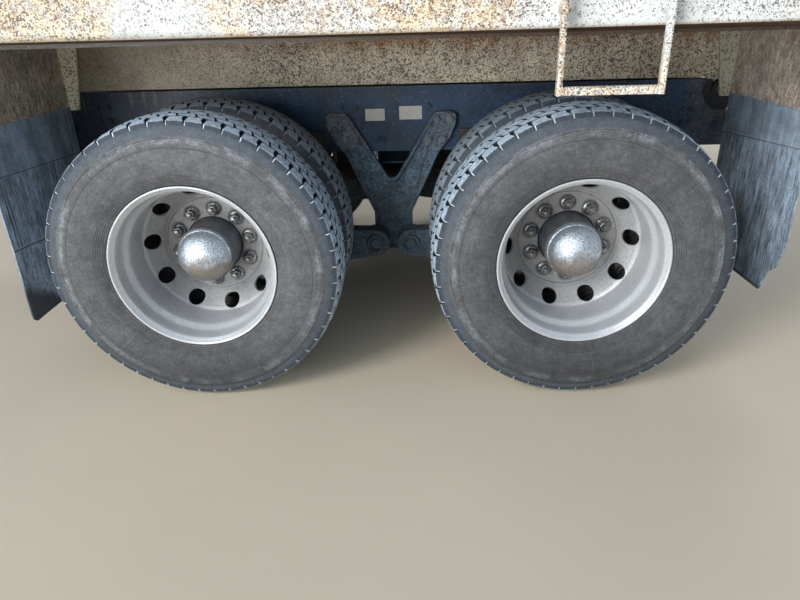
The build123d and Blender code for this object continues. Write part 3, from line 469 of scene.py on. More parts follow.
class Finish(Nodes):
    """A material and its nodes. x, y and z are the place on the piece in metres."""

    def __init__(self, name):
        self.material = bpy.data.materials.new(name)
        self.material.use_nodes = True
        super().__init__(self.material.node_tree)
        self.place, self.facing = (self.node("ShaderNodeTexCoord", (), which) for which in ("Object", "Normal"))
        self.x, self.y, self.z = (self.part(self.place, axis) for axis in "XYZ")
        self.facing_y, self.facing_z = (self.part(self.facing, axis) for axis in "YZ")

    def noise(self, grain, detail=4.0, rough=0.55, where=None, stretch=None, twist=0.0, output="Fac"):
        """Soft noise whose patches are about grain metres wide, from 0 to 1."""
        where = where or self.place
        if stretch:
            where = self.vectors("MULTIPLY", where, stretch)
        feeds = {"Vector": where, "Scale": 1 / grain, "Detail": detail, "Roughness": rough, "Distortion": twist}
        return self.node("ShaderNodeTexNoise", feeds, output)

    def vectors(self, operation, first, second):
        """A Vector Math node."""
        return self.node("ShaderNodeVectorMath", {0: first, 1: second}, operation=operation)

    def cells(self, grain, where):
        """Distance from the middle of the nearest of many small cells."""
        return self.node("ShaderNodeTexVoronoi", {"Vector": where, "Scale": 1 / grain}, feature="F1")

    def stored(self, name, output="Vector"):
        """An attribute that is stored on the mesh."""
        return self.node("ShaderNodeAttribute", (), output, attribute_name=name)

    def span(self, value, low, high, to_low=0.0, to_high=1.0):
        """Spreads low to high over to_low to to_high, softly and with no more beyond them."""
        feeds = {"Value": value, "From Min": low, "From Max": high, "To Min": to_low, "To Max": to_high}
        return self.node("ShaderNodeMapRange", feeds, interpolation_type="SMOOTHSTEP")

    def vary(self, noise, low, high):
        """Noise spread over low to high."""
        return self.span(noise, 0.3, 0.7, low, high)

    def band(self, value, low, high, soft):
        """1 between low and high, 0 outside."""
        rise = self.span(value, low - soft, low + soft)
        return rise * self.span(value, high - soft, high + soft, 1.0, 0.0)

    def scaled(self, look, *factors):
        """A colour made paler or darker by grey factors."""
        for factor in factors:
            look = self.mix(1.0, look, factor, "MULTIPLY")
        return look

    def bump(self, height, distance, strength=1.0, under=None):
        """A bump, laid over another one where given."""
        feeds = {"Height": height, "Distance": distance, "Strength": strength}
        if under:
            feeds["Normal"] = under
        return self.node("ShaderNodeBump", feeds)

    def done(self, **sockets):
        """Feeds the shader's sockets and gives the material."""
        shader = self.tree.nodes["Principled BSDF"]
        for name, value in sockets.items():
            self.feed(shader.inputs[name.replace("_", " ")], value)
        return self.material


def dusted(f, base, dust, amount, grain=0.09):
    """Dust on what faces up, and a thin uneven film everywhere."""
    up = f.span(f.facing_z, 0.15, 0.95)
    film = f.span(f.noise(grain, 5.0, 0.62), 0.38, 0.78)
    share = f.maths("MAXIMUM", up, film) * amount
    return f.mix(share, base, dust)


def rust_specks(f, grain, share, drift_size=0.2, drift=0.12, soft=0.16, more=0.0):
    """Dots about half a grain wide that cover about a share of the surface, more in some drifts than in others."""
    aside = f.vectors("MULTIPLY", f.noise(grain * 0.8, 2.0, 0.5, output="Color"), (grain * 0.6,) * 3)
    bent = f.vectors("ADD", f.place, aside)
    slow = f.vary(f.noise(drift_size, 3.0, 0.6), -drift, drift)
    apart = f.span(f.noise(grain * 1.7, 2.0, 0.5), 0.35, 0.65, -0.16, 0.16)
    reach = slow + apart + more + 0.62 * share ** 0.5 + 0.1
    return f.span(f.cells(grain, bent) - reach, soft / 2, -soft / 2)


# Painted shade: thin dark rings in the sidewall's grooves, at the foot of the shoulder and along the rim line, as (low
# radius, high radius, strength).
GROOVE_SHADOW_RINGS = ((0.4575, 0.4590, 0.45), (0.4283, 0.4297, 0.5), (0.4878, 0.4892, 0.3), (0.2955, 0.3035, 0.7))


def tyre_rubber(f):
    """Tyre rubber: mottled sidewalls, chafed shoulder, worn tread tops and near-black groove floors, with painted shade
    in the grooves, on the inner tyres and towards the bottom, and painted highlights on the shoulder's cuts and edge.
    """
    polar, tone = f.stored("polar"), f.stored("tone", "Fac")
    side_x, radius, side_z = f.part(polar, "X"), f.part(polar, "Y"), f.part(polar, "Z")
    side, shoulder, wall, top = paints("sidewall", "shoulder", "tread_wall", "tread_top")
    pale = paint("chafed")
    along_ring = f.joined(side_x * 0.10, radius, side_z * 0.10)
    blotch, mottle, grain = f.noise(0.11, 5.0, 0.66), f.noise(0.03, 5.0, 0.7), f.noise(0.0048, 4.0, 0.7)
    smear, scrape = f.noise(0.0055, 4.0, 0.65, where=along_ring), f.noise(0.013, 5.0, 0.72)
    skin = f.scaled(
        side, f.span(blotch, 0.34, 0.68, 0.82, 1.12), f.vary(mottle, 0.84, 1.15), f.vary(smear, 0.88, 1.11),
        f.vary(scrape, 0.84, 1.16),
    )
    patches = f.span(f.noise(0.09, 5.0, 0.72, twist=0.4), 0.40, 0.66)
    chafed = f.band(radius, 0.441, 0.462, 0.007) * patches * f.span(scrape, 0.35, 0.65, 0.4, 1.0)
    buttress = f.mix(f.span(mottle + scrape, 0.75, 1.3), shade(shoulder, 0.82), shade(shoulder, 1.18))
    skin = f.mix(f.span(radius, 0.462, 0.474) * 0.85, skin, buttress)
    skin = f.mix(chafed * 0.62, skin, shade(pale, 0.74))
    ridge = f.band(radius, 0.4598, 0.4628, 0.0008) * patches * f.span(grain, 0.4, 0.6)
    skin = f.mix(ridge * 0.5, skin, shade(pale, 0.9))
    # Painted shade in the sidewall's grooves and creases.
    for low, high, share in GROOVE_SHADOW_RINGS:
        skin = f.mix(f.band(radius, low, high, 0.0006) * share, skin, shade(side, 0.35))
    rings = f.maths("SINE", radius * (math.tau / 0.0068)) * f.band(radius, 0.306, 0.340, 0.002)
    skin = f.scaled(skin, f.span(rings, -0.9, -0.1, 0.62, 1.08))
    turn = f.maths("FRACT", f.maths("ARCTAN2", side_x, side_z) * (12 / math.tau))
    joint = f.band(turn, 0.495, 0.505, 0.003) * f.band(radius, 0.318, 0.430, 0.004) * patches
    skin = f.mix(joint * 0.22, skin, pale)
    sides = f.mix(f.span(radius, 0.4895, 0.500), skin, f.scaled(wall, f.vary(scrape, 0.75, 1.35)))
    # Chafed rubber and a painted highlight: a pale line along the tread's shoulder edge.
    sides = f.mix(f.band(radius, 0.5098, 0.5125, 0.0005) * f.span(scrape, 0.35, 0.6, 0.1, 0.7), sides, shade(pale, 0.7))
    wear = f.noise(0.016, 5.0, 0.7)
    # The worn tops: pale from wear, with painted sky light in their blue tint.
    worn = f.scaled(top, f.span(wear, 0.34, 0.66, 0.66, 1.25))
    block = f.mix(f.span(radius, 0.5105, 0.5125), sides, worn)
    block = f.scaled(block, f.vary(grain, 0.78, 1.24))
    # Chafed rubber and a painted highlight: the shallow cuts in the shoulder are painted near white.
    block = f.mix(
        f.maths("GREATER_THAN", tone, 0.75), block,
        f.scaled(shade(pale, 1.1), f.span(scrape, 0.35, 0.65, 0.5, 1.35)),
    )
    # Painted shade: the groove floors take the near-black groove colour.
    whole = f.mix(f.maths("LESS_THAN", tone, 0.25), block, f.scaled(paint("groove_shade"), f.vary(grain, 0.6, 1.5)))
    # Painted shade: the inner tyres are darker and bluer, as in the shadow under the body.
    inner = f.span(abs(f.y), 0.92, 0.88)
    whole = f.mix(inner * 0.5, whole, f.scaled(shade(shoulder, 0.65), f.vary(mottle, 0.6, 1.4)))
    # Painted shade: the tyres are darker towards the bottom, and the rear wheels darker than the front ones.
    low = f.span(f.z, 0.42, 0.02) * f.span(radius, 0.485, 0.47)
    whole = f.scaled(whole, f.span(f.x, -0.1, 0.1, 1.02, 0.87) * f.span(low, 0.0, 1.0, 1.0, 0.60))
    relief = f.bump(grain + scrape, 0.0012, 0.6)
    relief = f.bump(smear + rings * 0.6, 0.0010, 0.5, relief)
    return f.done(
        Base_Color=whole, Roughness=f.span(grain, 0.3, 0.8, 0.62, 0.86), Normal=relief,
        Specular_IOR_Level=0.4,
    )


def rim_paint(f):
    """Wheel paint: silver under road dust, darkest in the cone, with painted shade about the nuts and between the twin
    wheels and a painted highlight on the disc's bend.
    """
    polar = f.stored("polar")
    radius = f.part(polar, "Y")
    silver, dust, dirt = paints("rim", "road_dust", "brake_dust")
    slow, fine, specks = f.noise(0.05, 4.0, 0.6), f.noise(0.007, 5.0, 0.68), f.noise(0.0042, 2.0, 0.5)
    clean = f.scaled(silver, f.vary(slow, 0.86, 1.06))
    dirty = f.scaled(dirt, f.vary(fine, 0.6, 1.45))
    dirty = f.mix(f.span(f.noise(0.03, 4.0, 0.6), 0.45, 0.72, 0.0, 0.6), dirty, dust)
    flat, cone = f.span(radius, 0.200, 0.184), f.span(radius, 0.264, 0.232)
    share = cone * 0.40 + flat * 0.18
    share = share + f.span(slow + fine, 0.85, 1.3, 0.0, 0.24)
    look = f.mix(share, clean, dirty)
    # Painted shade: a dark ring round each nut.
    turn = f.maths("ARCTAN2", f.part(polar, "X"), f.part(polar, "Z")) * (HAND_HOLES / math.tau)
    beside = (f.maths("FRACT", turn) - 0.5) * (NUT_CIRCLE * MM * math.tau / HAND_HOLES)
    beyond = radius - NUT_CIRCLE * MM
    from_nut = f.maths("SQRT", beside * beside + beyond * beyond)
    look = f.mix(f.span(from_nut + fine * 0.006, 0.039, 0.032) * 0.6, look, shade(dirt, 0.38))
    look = f.mix(f.span(specks, 0.58, 0.66) * (cone * 0.4 + 0.15), look, shade(dirt, 0.55))
    # Painted highlight and painted shade: a pale ring on the bend at the cone's foot and a dark ring just inside it.
    look = f.mix(f.band(radius, 0.1905, 0.1945, 0.0012) * 0.5, look, shade(silver, 0.8))
    look = f.mix(f.band(radius, 0.1845, 0.1885, 0.0012) * 0.45, look, shade(dirt, 0.45))
    # Painted shade: near black on the faces that look towards the other wheel of the pair and in the gap between the
    # two wheels.
    out = f.facing_y * f.maths("SIGN", f.y)
    from_joint = abs(f.y) - WHEEL_JOINT_Y * MM
    towards_joint = f.span(out * f.maths("SIGN", from_joint), -0.15, -0.5)
    between = f.span(abs(from_joint), 0.072, 0.066) * f.span(radius, 0.240, 0.250)
    look = f.mix(f.maths("MAXIMUM", towards_joint, between) * 0.94, look, shade(dirt, 0.12))
    rough = f.span(fine + share * 0.5, 0.3, 1.0, 0.30, 0.62)
    metal = f.span(share, 0.1, 0.7, 0.36, 0.15)
    return f.done(Base_Color=look, Metallic=metal, Roughness=rough, Normal=f.bump(fine + specks, 0.0011, 0.5))


def dark_metal(f, tint, dust_share, rough_low, rough_high, grain=0.012, metallic=0.0, rust_share=0.0, bump=0.001):
    """Iron, steel or rubber in one paint, mottled and dusty."""
    base = paint(tint)
    slow, fine = f.noise(0.07, 4.0, 0.6), f.noise(grain, 5.0, 0.68)
    look = f.scaled(base, f.span(slow, 0.3, 0.72, 0.72, 1.3), f.vary(fine, 0.68, 1.4))
    if rust_share:
        look = f.mix(f.span(slow + fine, 1.0, 1.28) * rust_share, look, shade(paint("rust"), 0.7))
    look = dusted(f, look, shade(paint("road_dust"), 0.75), dust_share)
    return f.done(
        Base_Color=look, Metallic=metallic, Roughness=f.span(fine, 0.3, 0.75, rough_low, rough_high),
        Normal=f.bump(fine, bump, 0.5),
    )


def cap_chrome(f):
    """Dulled plating: frosted and pitted all over, brown where it faces down with dust and a painted reflection of the
    warm floor.
    """
    chrome, dust = paints("cap", "road_dust")
    frost, pits, slow = f.noise(0.0034, 3.0, 0.65), f.cells(0.0052, f.place), f.noise(0.03, 4.0)
    speck = f.span(f.noise(0.0048, 2.0, 0.5), 0.54, 0.60)
    # Dust and a painted reflection: the faces that look down turn brown, as dust and as the warm floor seen in the
    # plating.
    low = f.span(f.facing_z + (slow - 0.5) * 1.2, 0.32, -0.35)
    look = f.scaled(chrome, f.vary(frost, 0.70, 1.12))
    look = f.mix(low * 0.80, look, f.mix(0.35, shade(dust, 0.62), shade(paint("rust"), 1.3)))
    look = f.mix(speck * 0.55, look, shade(dust, 0.42))
    metal = f.span(speck * 0.5 + low, 0.2, 1.3, 0.95, 0.35)
    relief = f.bump(pits * 1.2 + frost, 0.0022, 0.6)
    return f.done(Base_Color=look, Metallic=metal, Roughness=f.vary(frost, 0.34, 0.50), Normal=relief)


def chassis_paint(f):
    """The rails' paint: mottled and streaked, with drips, worn patches and rust, and painted shade towards the front
    and just under the sills.
    """
    base, dust, rust = paints("chassis", "road_dust", "rust")
    slow, fine, specks = f.noise(0.16, 5.0, 0.66), f.noise(0.010, 5.0, 0.72), f.noise(0.006, 3.0, 0.6)
    run = f.noise(0.010, 5.0, 0.7, stretch=(1.0, 1.0, 0.10))
    # Painted shade: the paint is darker towards the front and in a band just under the sills.
    look = f.scaled(
        base, f.span(slow, 0.32, 0.68, 0.55, 1.35), f.vary(fine, 0.5, 1.6),
        f.span(f.x, -1.2, -0.5, 0.52, 1.0), f.span(f.z, 0.98, 1.04, 1.0, 0.62),
    )
    look = f.mix(f.span(run, 0.56, 0.70) * f.span(slow, 0.62, 0.38, 0.0, 0.26), look, shade(dust, 0.6))
    look = f.mix(f.span(specks, 0.59, 0.68) * 0.26, look, shade(dust, 0.65))
    dots = f.span(f.noise(0.013, 2.0, 0.5), 0.60, 0.67)
    look = f.mix(dots * 0.36, look, f.mix(0.55, shade(base, 3.2), shade(dust, 0.6)))
    drips = (
        f.span(f.noise(0.016, 3.0, 0.6, stretch=(1.0, 1.0, 0.05)), 0.57, 0.64) * f.span(f.x, -0.72, -0.82)
        * f.span(f.z, 0.93, 1.00)
    )
    look = f.mix(drips * 0.38, look, shade(dust, 0.8))
    worn = f.span(f.x, 1.20, 1.30) * f.span(f.noise(0.05, 5.0, 0.7), 0.36, 0.56) * f.span(f.facing_z, 0.5, 0.2)
    look = f.mix(worn * 0.26, look, f.scaled(shade(dust, 0.75), f.vary(fine, 0.5, 1.4)))
    patch = f.span(f.noise(0.09, 5.0, 0.72), 0.62, 0.72)
    look = f.mix(patch * 0.4, look, shade(rust, 0.45))
    look = dusted(f, look, shade(dust, 0.6), 0.09, 0.12)
    return f.done(Base_Color=look, Roughness=f.span(fine, 0.3, 0.75, 0.42, 0.7), Normal=f.bump(fine, 0.0016, 0.6))


def hanger_iron(f):
    """Painted castings: rough, rusty where the bolts sit and pale where the paint is chipped, made paler towards the
    top as painted light.
    """
    base, dust, rust = paints("casting", "road_dust", "rust")
    slow, fine, sand = f.noise(0.05, 5.0, 0.68), f.noise(0.011, 5.0, 0.72), f.noise(0.0055, 4.0, 0.68)
    look = f.scaled(base, f.span(slow, 0.34, 0.66, 0.6, 1.35), f.vary(fine, 0.42, 1.75))
    high = f.span(f.z, 0.74, 0.86)
    patch = f.span(fine + high * 0.10, 0.54, 0.64)
    look = f.mix(patch * 0.34, look, f.scaled(shade(rust, 0.6), f.vary(sand, 0.5, 1.6)))
    look = f.mix(f.span(sand, 0.56, 0.68) * 0.34, look, shade(dust, 0.8))
    dots = f.span(f.noise(0.013, 3.0, 0.6), 0.57, 0.65)
    look = f.mix(dots * 0.5, look, shade(base, 2.7))
    pits = f.span(f.noise(0.017, 3.0, 0.6), 0.47, 0.39) * (high * 0.35 + 0.45)
    look = f.mix(pits, look, shade(base, 0.28))
    look = dusted(f, look, shade(dust, 0.65), 0.2)
    # Painted light: the castings are made paler towards the top.
    look = f.scaled(look, f.span(f.z, 0.45, 0.72, 1.0, 1.5))
    relief = f.bump(sand, 0.0014, 0.7, f.bump(fine, 0.0036, 0.7))
    return f.done(Base_Color=look, Roughness=f.span(fine, 0.3, 0.75, 0.5, 0.78), Normal=relief)


def line_between(f, across, level, ends, soft=0.004):
    """1 on a thin line between two (distance from the middle, height) points of a flap, in metres."""
    (a0, z0), (a1, z1) = ends
    reach = math.hypot(a1 - a0, z1 - z0)
    u, v = (a1 - a0) / reach, (z1 - z0) / reach
    from_a, from_z = across - a0, level - z0
    off = from_a * v - from_z * u
    run = from_a * u + from_z * v
    return f.span(abs(off), soft, soft * 0.3) * f.band(run, 0.0, reach, 0.006)


# Painted shadow lines along the front flap's ridges and folds, as ((start, end), strength) in metres.
FOLD_SHADOW_LINES = (
    (((0.497, 0.987), (0.501, 0.807)), 0.75),
    (((0.458, 0.982), (0.464, 0.807)), 0.75),
    (((1.031, 0.808), (1.028, 0.560)), 0.8),
    (((1.012, 0.800), (1.005, 0.556)), 0.7),
    (((0.860, 0.534), (1.064, 0.553)), 0.8),
)
# Painted highlight lines along the same ridges and folds.
FOLD_HIGHLIGHT_LINES = (
    (((0.503, 0.987), (0.507, 0.807)), 0.35),
    (((1.021, 0.806), (1.016, 0.560)), 0.6),
    (((0.860, 0.541), (1.064, 0.560)), 0.6),
)


def flap_rubber(f):
    """Mud flap rubber: a smooth upper panel over a crease, and washed, streaked rubber below it, with painted shadows
    and highlights along the crease, ridges and folds and painted light on the front flap.
    """
    base, dust, pale = paints("flap", "road_dust", "chafed")
    level, across = f.z, abs(f.y)
    rear = f.span(f.x, -0.2, 0.2)
    front = 1.0 - rear
    slope = rear * 0.023 + 0.040
    crease = across * slope + rear * 0.025 + 0.782
    under = crease - level
    below = f.span(under, 0.0, 0.010)
    rib = f.noise(0.0065, 5.0, 0.72, stretch=(1.0, 1.0, 0.085))
    broad = f.noise(0.05, 4.0, 0.6, stretch=(1.0, 1.0, 0.14))
    cloud, fine = f.noise(0.10, 5.0, 0.68), f.noise(0.0075, 5.0, 0.72)
    # Painted light: the front flap is made paler, and the rear flap darker low down and inboard.
    look = f.scaled(
        base, f.span(cloud, 0.32, 0.68, 0.66, 1.22),
        front * 1.45 + rear * f.span(level, 0.35, 0.75, 0.60, 1.0) * f.span(across, 0.55, 1.10, 0.95, 1.34),
        f.vary(broad, 0.72, 1.28), f.vary(fine, 0.72, 1.30),
    )
    streaked = f.scaled(look, f.span(rib, 0.34, 0.66, 0.38, 1.75))
    washed = f.span(rib, 0.50, 0.62) * f.span(across, 0.60, 0.95, 0.12, 0.50)
    streaked = f.mix(washed, streaked, shade(pale, 0.72))
    look = f.mix(below, look, streaked)
    # Painted shadow under the crease and a painted highlight above it.
    look = f.mix(f.band(under, -0.0005, 0.0035, 0.0012) * 0.7, look, shade(base, 0.2))
    look = f.mix(f.band(under, -0.006, -0.0025, 0.0012) * 0.35, look, shade(pale, 0.9))
    # Painted shadow and highlight lines on the front flap.
    for lines, tint in ((FOLD_SHADOW_LINES, shade(base, 0.15)), (FOLD_HIGHLIGHT_LINES, pale)):
        for ends, share in lines:
            look = f.mix(line_between(f, across, level, ends) * front * share, look, tint)
    worn = (across - 0.908) * 0.5 + 0.322 - level
    worn = f.span(worn + (rib - 0.5) * 0.22, -0.01, 0.02)
    look = f.mix(worn * front * 0.85, look, shade(base, 0.13))
    foot = f.span(level, 0.334, 0.328) * rear
    look = f.mix(foot * 0.8, look, shade(base, 0.16))
    look = f.mix(f.span(f.noise(0.16, 4.0), 0.5, 0.75, 0.0, 0.2), look, shade(dust, 0.75))
    relief = f.bump(fine, 0.0012, 0.5, f.bump(rib * below, 0.003, 0.7))
    return f.done(Base_Color=look, Roughness=f.vary(rib, 0.5, 0.78), Normal=relief, Specular_IOR_Level=0.4)


def rusty_plate(f):
    """The flap brackets: rusty plates and angles, and legs in weathered paint, with painted light that makes the front
    ones paler than the rear ones.
    """
    plate, leg, rust = paints("flap_plate", "leg", "rust")
    slow, fine = f.noise(0.09, 5.0, 0.68), f.noise(0.009, 5.0, 0.72)
    streak = f.noise(0.007, 5.0, 0.72, stretch=(1.0, 1.0, 0.16))
    bare = f.scaled(plate, f.span(slow, 0.32, 0.68, 0.7, 1.15), f.vary(fine, 0.6, 1.4))
    bare = f.mix(
        f.span(f.noise(0.05, 5.0, 0.7), 0.50, 0.68, 0.0, 0.6), bare,
        f.scaled(shade(rust, 1.1), f.vary(fine, 0.6, 1.4)),
    )
    bare = f.scaled(bare, f.span(streak, 0.32, 0.68, 0.55, 1.45))
    bare = f.mix(f.span(streak, 0.57, 0.68, 0.0, 0.4), bare, shade(leg, 1.1))
    painted = f.scaled(leg, f.vary(fine, 0.84, 1.14))
    painted = f.mix(rust_specks(f, 0.0068, 0.15, 0.2, 0.05) * 0.75, painted, shade(rust, 0.28))
    # Painted light: the front legs are paler and the rear legs darker.
    painted = f.scaled(painted, f.span(f.x, -0.2, 0.2, 1.75, 0.62))
    across, along = abs(f.y), abs(f.x)
    # Painted light: the front plate is paler than the rear one, and the rear plate paler outboard.
    rear = f.span(f.x, -0.2, 0.2) * f.span(across, 0.45, 1.10, 0.5, 1.0)
    bare = f.scaled(bare, f.span(rear, 0.0, 1.0, 1.0, 1.24) * f.span(f.x, -0.2, 0.2, 1.4, 0.9))
    is_leg = f.span(across, 0.4568, 0.4560) * f.maths("LESS_THAN", along, 1.4145)
    look = f.mix(is_leg, bare, painted)
    return f.done(
        Base_Color=look, Roughness=f.span(fine, 0.3, 0.8, 0.6, 0.88),
        Normal=f.bump(fine + streak, 0.0020, 0.6),
    )


def body_paint(f, sills=True):
    """Sills, cross sills and floor plate: dull paint under dense rust specks, rustiest along the sills' top, with
    painted shadow there under the side rails and painted shade towards the sills' ends.
    """
    base, rust = paints("sill", "rust")
    along = f.x if sills else 1.0
    slow, fine = f.noise(0.14, 5.0, 0.66), f.noise(0.009, 5.0, 0.72)
    run = f.noise(0.06, 5.0, 0.68, stretch=(1.0, 1.0, 0.45))
    # Painted shade: the sills are darker towards the front and the rear.
    look = f.scaled(
        base, f.span(slow, 0.32, 0.68, 0.78, 1.08), f.span(along, -1.1, -0.3, 0.56, 0.86),
        f.span(along, 0.4, 1.3, 1.0, 0.80), f.vary(fine, 0.74, 1.22),
    )
    high = f.span(f.z + (run - 0.5) * 0.20, 1.165, 1.255)
    if not sills:
        high = f.vary(f.noise(0.5, 4.0, 0.6), 0.45, 0.75)
    stain = (high * 0.5 + f.span(run, 0.50, 0.70, 0.0, 0.30)) * f.span(along, -1.1, -0.35, 0.35, 1.0)
    look = f.mix(stain, look, f.scaled(shade(rust, 1.5), f.vary(fine, 0.7, 1.35)))
    golden = f.band(along, -0.35, 0.45, 0.22) * high * f.span(run, 0.35, 0.6, 0.2, 0.6)
    look = f.mix(golden, look, shade(rust, 2.1))
    # Rust and painted shadow: the sills' top, under the side rails, turns dark brown.
    top = f.span(f.z + (run - 0.5) * 0.10, 1.205, 1.262) * f.span(along, -1.1, -0.6, 0.3, 1.0) if sills else 0.0
    look = f.mix(top * 0.5, look, f.scaled(shade(rust, 0.72), f.vary(fine, 0.7, 1.4)))
    fewer = f.span(along, -0.95, -0.40, -0.13, 0.0)
    specks = f.maths(
        "MAXIMUM", rust_specks(f, 0.0072, 0.19 if sills else 0.12, 0.3, 0.06, 0.24, fewer),
        rust_specks(f, 0.0052, 0.13 if sills else 0.07, 0.22, 0.06, 0.24, fewer) * 0.75,
    )
    look = f.mix(specks * f.span(along, -0.95, -0.40, 0.55, 0.86), look, shade(rust, 0.15))
    if not sills:
        drag = f.noise(0.03, 5.0, 0.7, stretch=(0.06, 1.0, 1.0))
        look = f.mix(
            f.span(drag, 0.52, 0.68, 0.0, 0.55), look,
            f.scaled(shade(paint("road_dust"), 0.9), f.vary(fine, 0.7, 1.3)),
        )
        look = f.mix(
            f.span(f.noise(0.02, 4.0, 0.7, stretch=(0.04, 1.0, 1.0)), 0.60, 0.70, 0.0, 0.5), look,
            shade(rust, 0.3),
        )
    return f.done(
        Base_Color=look, Roughness=f.span(fine, 0.3, 0.8, 0.6, 0.85),
        Normal=f.bump(fine - specks, 0.0018, 0.6),
    )


def rail_paint(f, edge=True):
    """Side rails and steps: white paint full of rust specks, with warm stains about them, painted shade towards the
    front and a painted shadow on the lip under the rails.
    """
    base, rust = paints("rail", "rust")
    slow, fine = f.noise(0.16, 5.0, 0.62), f.noise(0.010, 5.0, 0.65)
    height, along = f.z, f.x
    crowd = f.span(along, 0.62, 0.80, 0.95, 0.42)
    if edge:
        crowd = f.maths("MAXIMUM", f.band(along, -3.0, -0.80, 0.08), f.band(along, -0.50, 0.48, 0.12))
        crowd = f.maths("MAXIMUM", crowd, f.span(along, 0.76, 0.84, 0.0, 0.62))
    warm = f.span(f.noise(0.42, 4.0, 0.6) + (crowd - 0.5) * 0.24, 0.44, 0.62)
    # Painted shade and light: the white is darker towards the front and paler towards the rear.
    look = f.scaled(
        base, f.span(slow, 0.3, 0.72, 0.93, 1.06), f.span(along, -1.3, 0.3, 0.71, 0.985),
        f.span(along, 0.5, 1.3, 1.0, 1.12),
    )
    look = f.mix(warm * f.span(f.noise(0.03, 5.0, 0.7), 0.36, 0.62, 0.15, 0.80), look, paint("cream"))
    lift = (warm - 0.5) * 0.06
    more = f.span(crowd, 0.0, 1.0, -0.13, 0.03)
    if edge:
        clear = f.span(height, 1.318, 1.292) * f.span(height, 1.282, 1.288)
        lift = lift - clear * 0.08
        more = more - clear * 0.08
    stain = f.span(f.noise(0.016, 4.0, 0.7) + lift, 0.55, 0.68)
    halo = rust_specks(f, 0.0110, 0.14, 0.20, 0.12, 0.3, more)
    specks = f.maths(
        "MAXIMUM", rust_specks(f, 0.0068, 0.15, 0.16, 0.07, 0.16, more),
        rust_specks(f, 0.0048, 0.08, 0.12, 0.06, 0.16, more) * 0.7,
    )
    look = f.mix(stain * 0.45, look, shade(rust, 2.5))
    look = f.mix(halo * 0.50, look, shade(rust, 1.5))
    look = f.mix(specks * 0.84, look, shade(rust, 0.30))
    run = f.noise(0.012, 4.0, 0.6, stretch=(1.0, 1.0, 0.14))
    look = f.mix(f.span(run, 0.6, 0.8, 0.0, 0.25), look, shade(rust, 1.6))
    if edge:
        above = height - f.span(along, 0.0, 1.5, 0.0, 0.0055)
        look = f.mix(f.span(above, 1.2835, 1.2755, 0.0, 0.55), look, shade(paint("cream"), 0.55))
        look = f.mix(f.span(above, 1.2757, 1.2743), look, f.scaled(shade(rust, 0.28), f.vary(fine, 0.5, 1.5)))
        # Painted shadow: the lip set back under the rail is dark brown with rust specks, darkest at the front.
        lip = f.mix(specks, f.mix(0.5, shade(paint("sill"), 0.15), shade(rust, 0.34)), shade(rust, 0.16))
        look = f.mix(f.span(height, 1.2655, 1.2630), look, f.scaled(lip, f.span(along, -1.3, 0.2, 0.42, 1.0)))
    return f.done(
        Base_Color=look, Roughness=f.span(fine, 0.3, 0.8, 0.38, 0.62),
        Normal=f.bump(slow - specks * 0.1, 0.004, 0.35),
    )


def label_white(f):
    """The blank labels: white, lightly soiled."""
    base, dust = paints("label", "road_dust")
    fine = f.noise(0.006, 4.0, 0.6)
    look = f.mix(f.span(fine, 0.45, 0.75, 0.0, 0.6), base, shade(dust, 0.8))
    return f.done(Base_Color=look, Roughness=f.vary(fine, 0.35, 0.6), Normal=f.bump(fine, 0.0003, 0.4))


def plain_floor(f):
    """The floor under the part."""
    base = paint("floor")
    slow, fine = f.noise(0.9, 4.0), f.noise(0.01, 4.0, 0.6)
    look = f.scaled(base, f.vary(slow, 0.97, 1.02))
    return f.done(Base_Color=look, Roughness=0.9, Normal=f.bump(fine, 0.0006, 0.2))


FINISHES = {
    "tyre_rubber": tyre_rubber,
    "rim_paint": rim_paint,
    "cap_chrome": cap_chrome,
    "chassis_paint": chassis_paint,
    "hanger_iron": hanger_iron,
    "flap_rubber": flap_rubber,
    "rusty_plate": rusty_plate,
    "body_paint": body_paint,
    "plate_paint": lambda f: body_paint(f, False),
    "rail_paint": rail_paint,
    "step_paint": lambda f: rail_paint(f, False),
    "label_white": label_white,
    "floor": plain_floor,
    "hub_black": lambda f: dark_metal(f, "hub", dust_share=0.16, rough_low=0.28, rough_high=0.5),
    "nut_steel": lambda f: dark_metal(
        f, "nut", dust_share=0.22, rough_low=0.2, rough_high=0.42, grain=0.006, metallic=0.75, rust_share=0.2,
    ),
    "bolt_iron": lambda f: dark_metal(
        f, "bolt", dust_share=0.3, rough_low=0.4, rough_high=0.7, metallic=0.3, rust_share=0.6,
    ),
    # Painted shade: a near-black finish for the hinge brackets and gussets, which sit in deep shadow.
    "shaded_iron": lambda f: dark_metal(f, "groove_shade", dust_share=0.06, rough_low=0.6, rough_high=0.85),
    "axle_iron": lambda f: dark_metal(f, "axle", dust_share=0.45, rough_low=0.5, rough_high=0.8, rust_share=0.4),
    "spring_rubber": lambda f: dark_metal(
        f, "spring_rubber", dust_share=0.5, rough_low=0.6, rough_high=0.85, bump=0.0006,
    ),
    "bare_steel": lambda f: dark_metal(
        f, "nut", dust_share=0.3, rough_low=0.3, rough_high=0.55, metallic=0.7, rust_share=0.5,
    ),
}


def finish(name):
    """One of the finishes, made at its first use."""
    full = name + "_finish"
    return bpy.data.materials.get(full) or FINISHES[name](Finish(full))


# ---------------------------------------------------------------- wheels

OUTER_Y = 1079.0
INNER_Y = 736.0
WHEEL_JOINT_Y = 907.5
DISC_FACE_Y = 918.5
NUT_CIRCLE = 142.9
HAND_HOLES = 10
TREAD_TURNS = {("front", "left"): 0.27, ("front", "right"): 4.9, ("rear", "left"): 5.52, ("rear", "right"): 3.4}
HOLE_TURNS = {(axle, side): {"front": 24.0, "rear": 14.5}[axle] for axle, side in TREAD_TURNS}


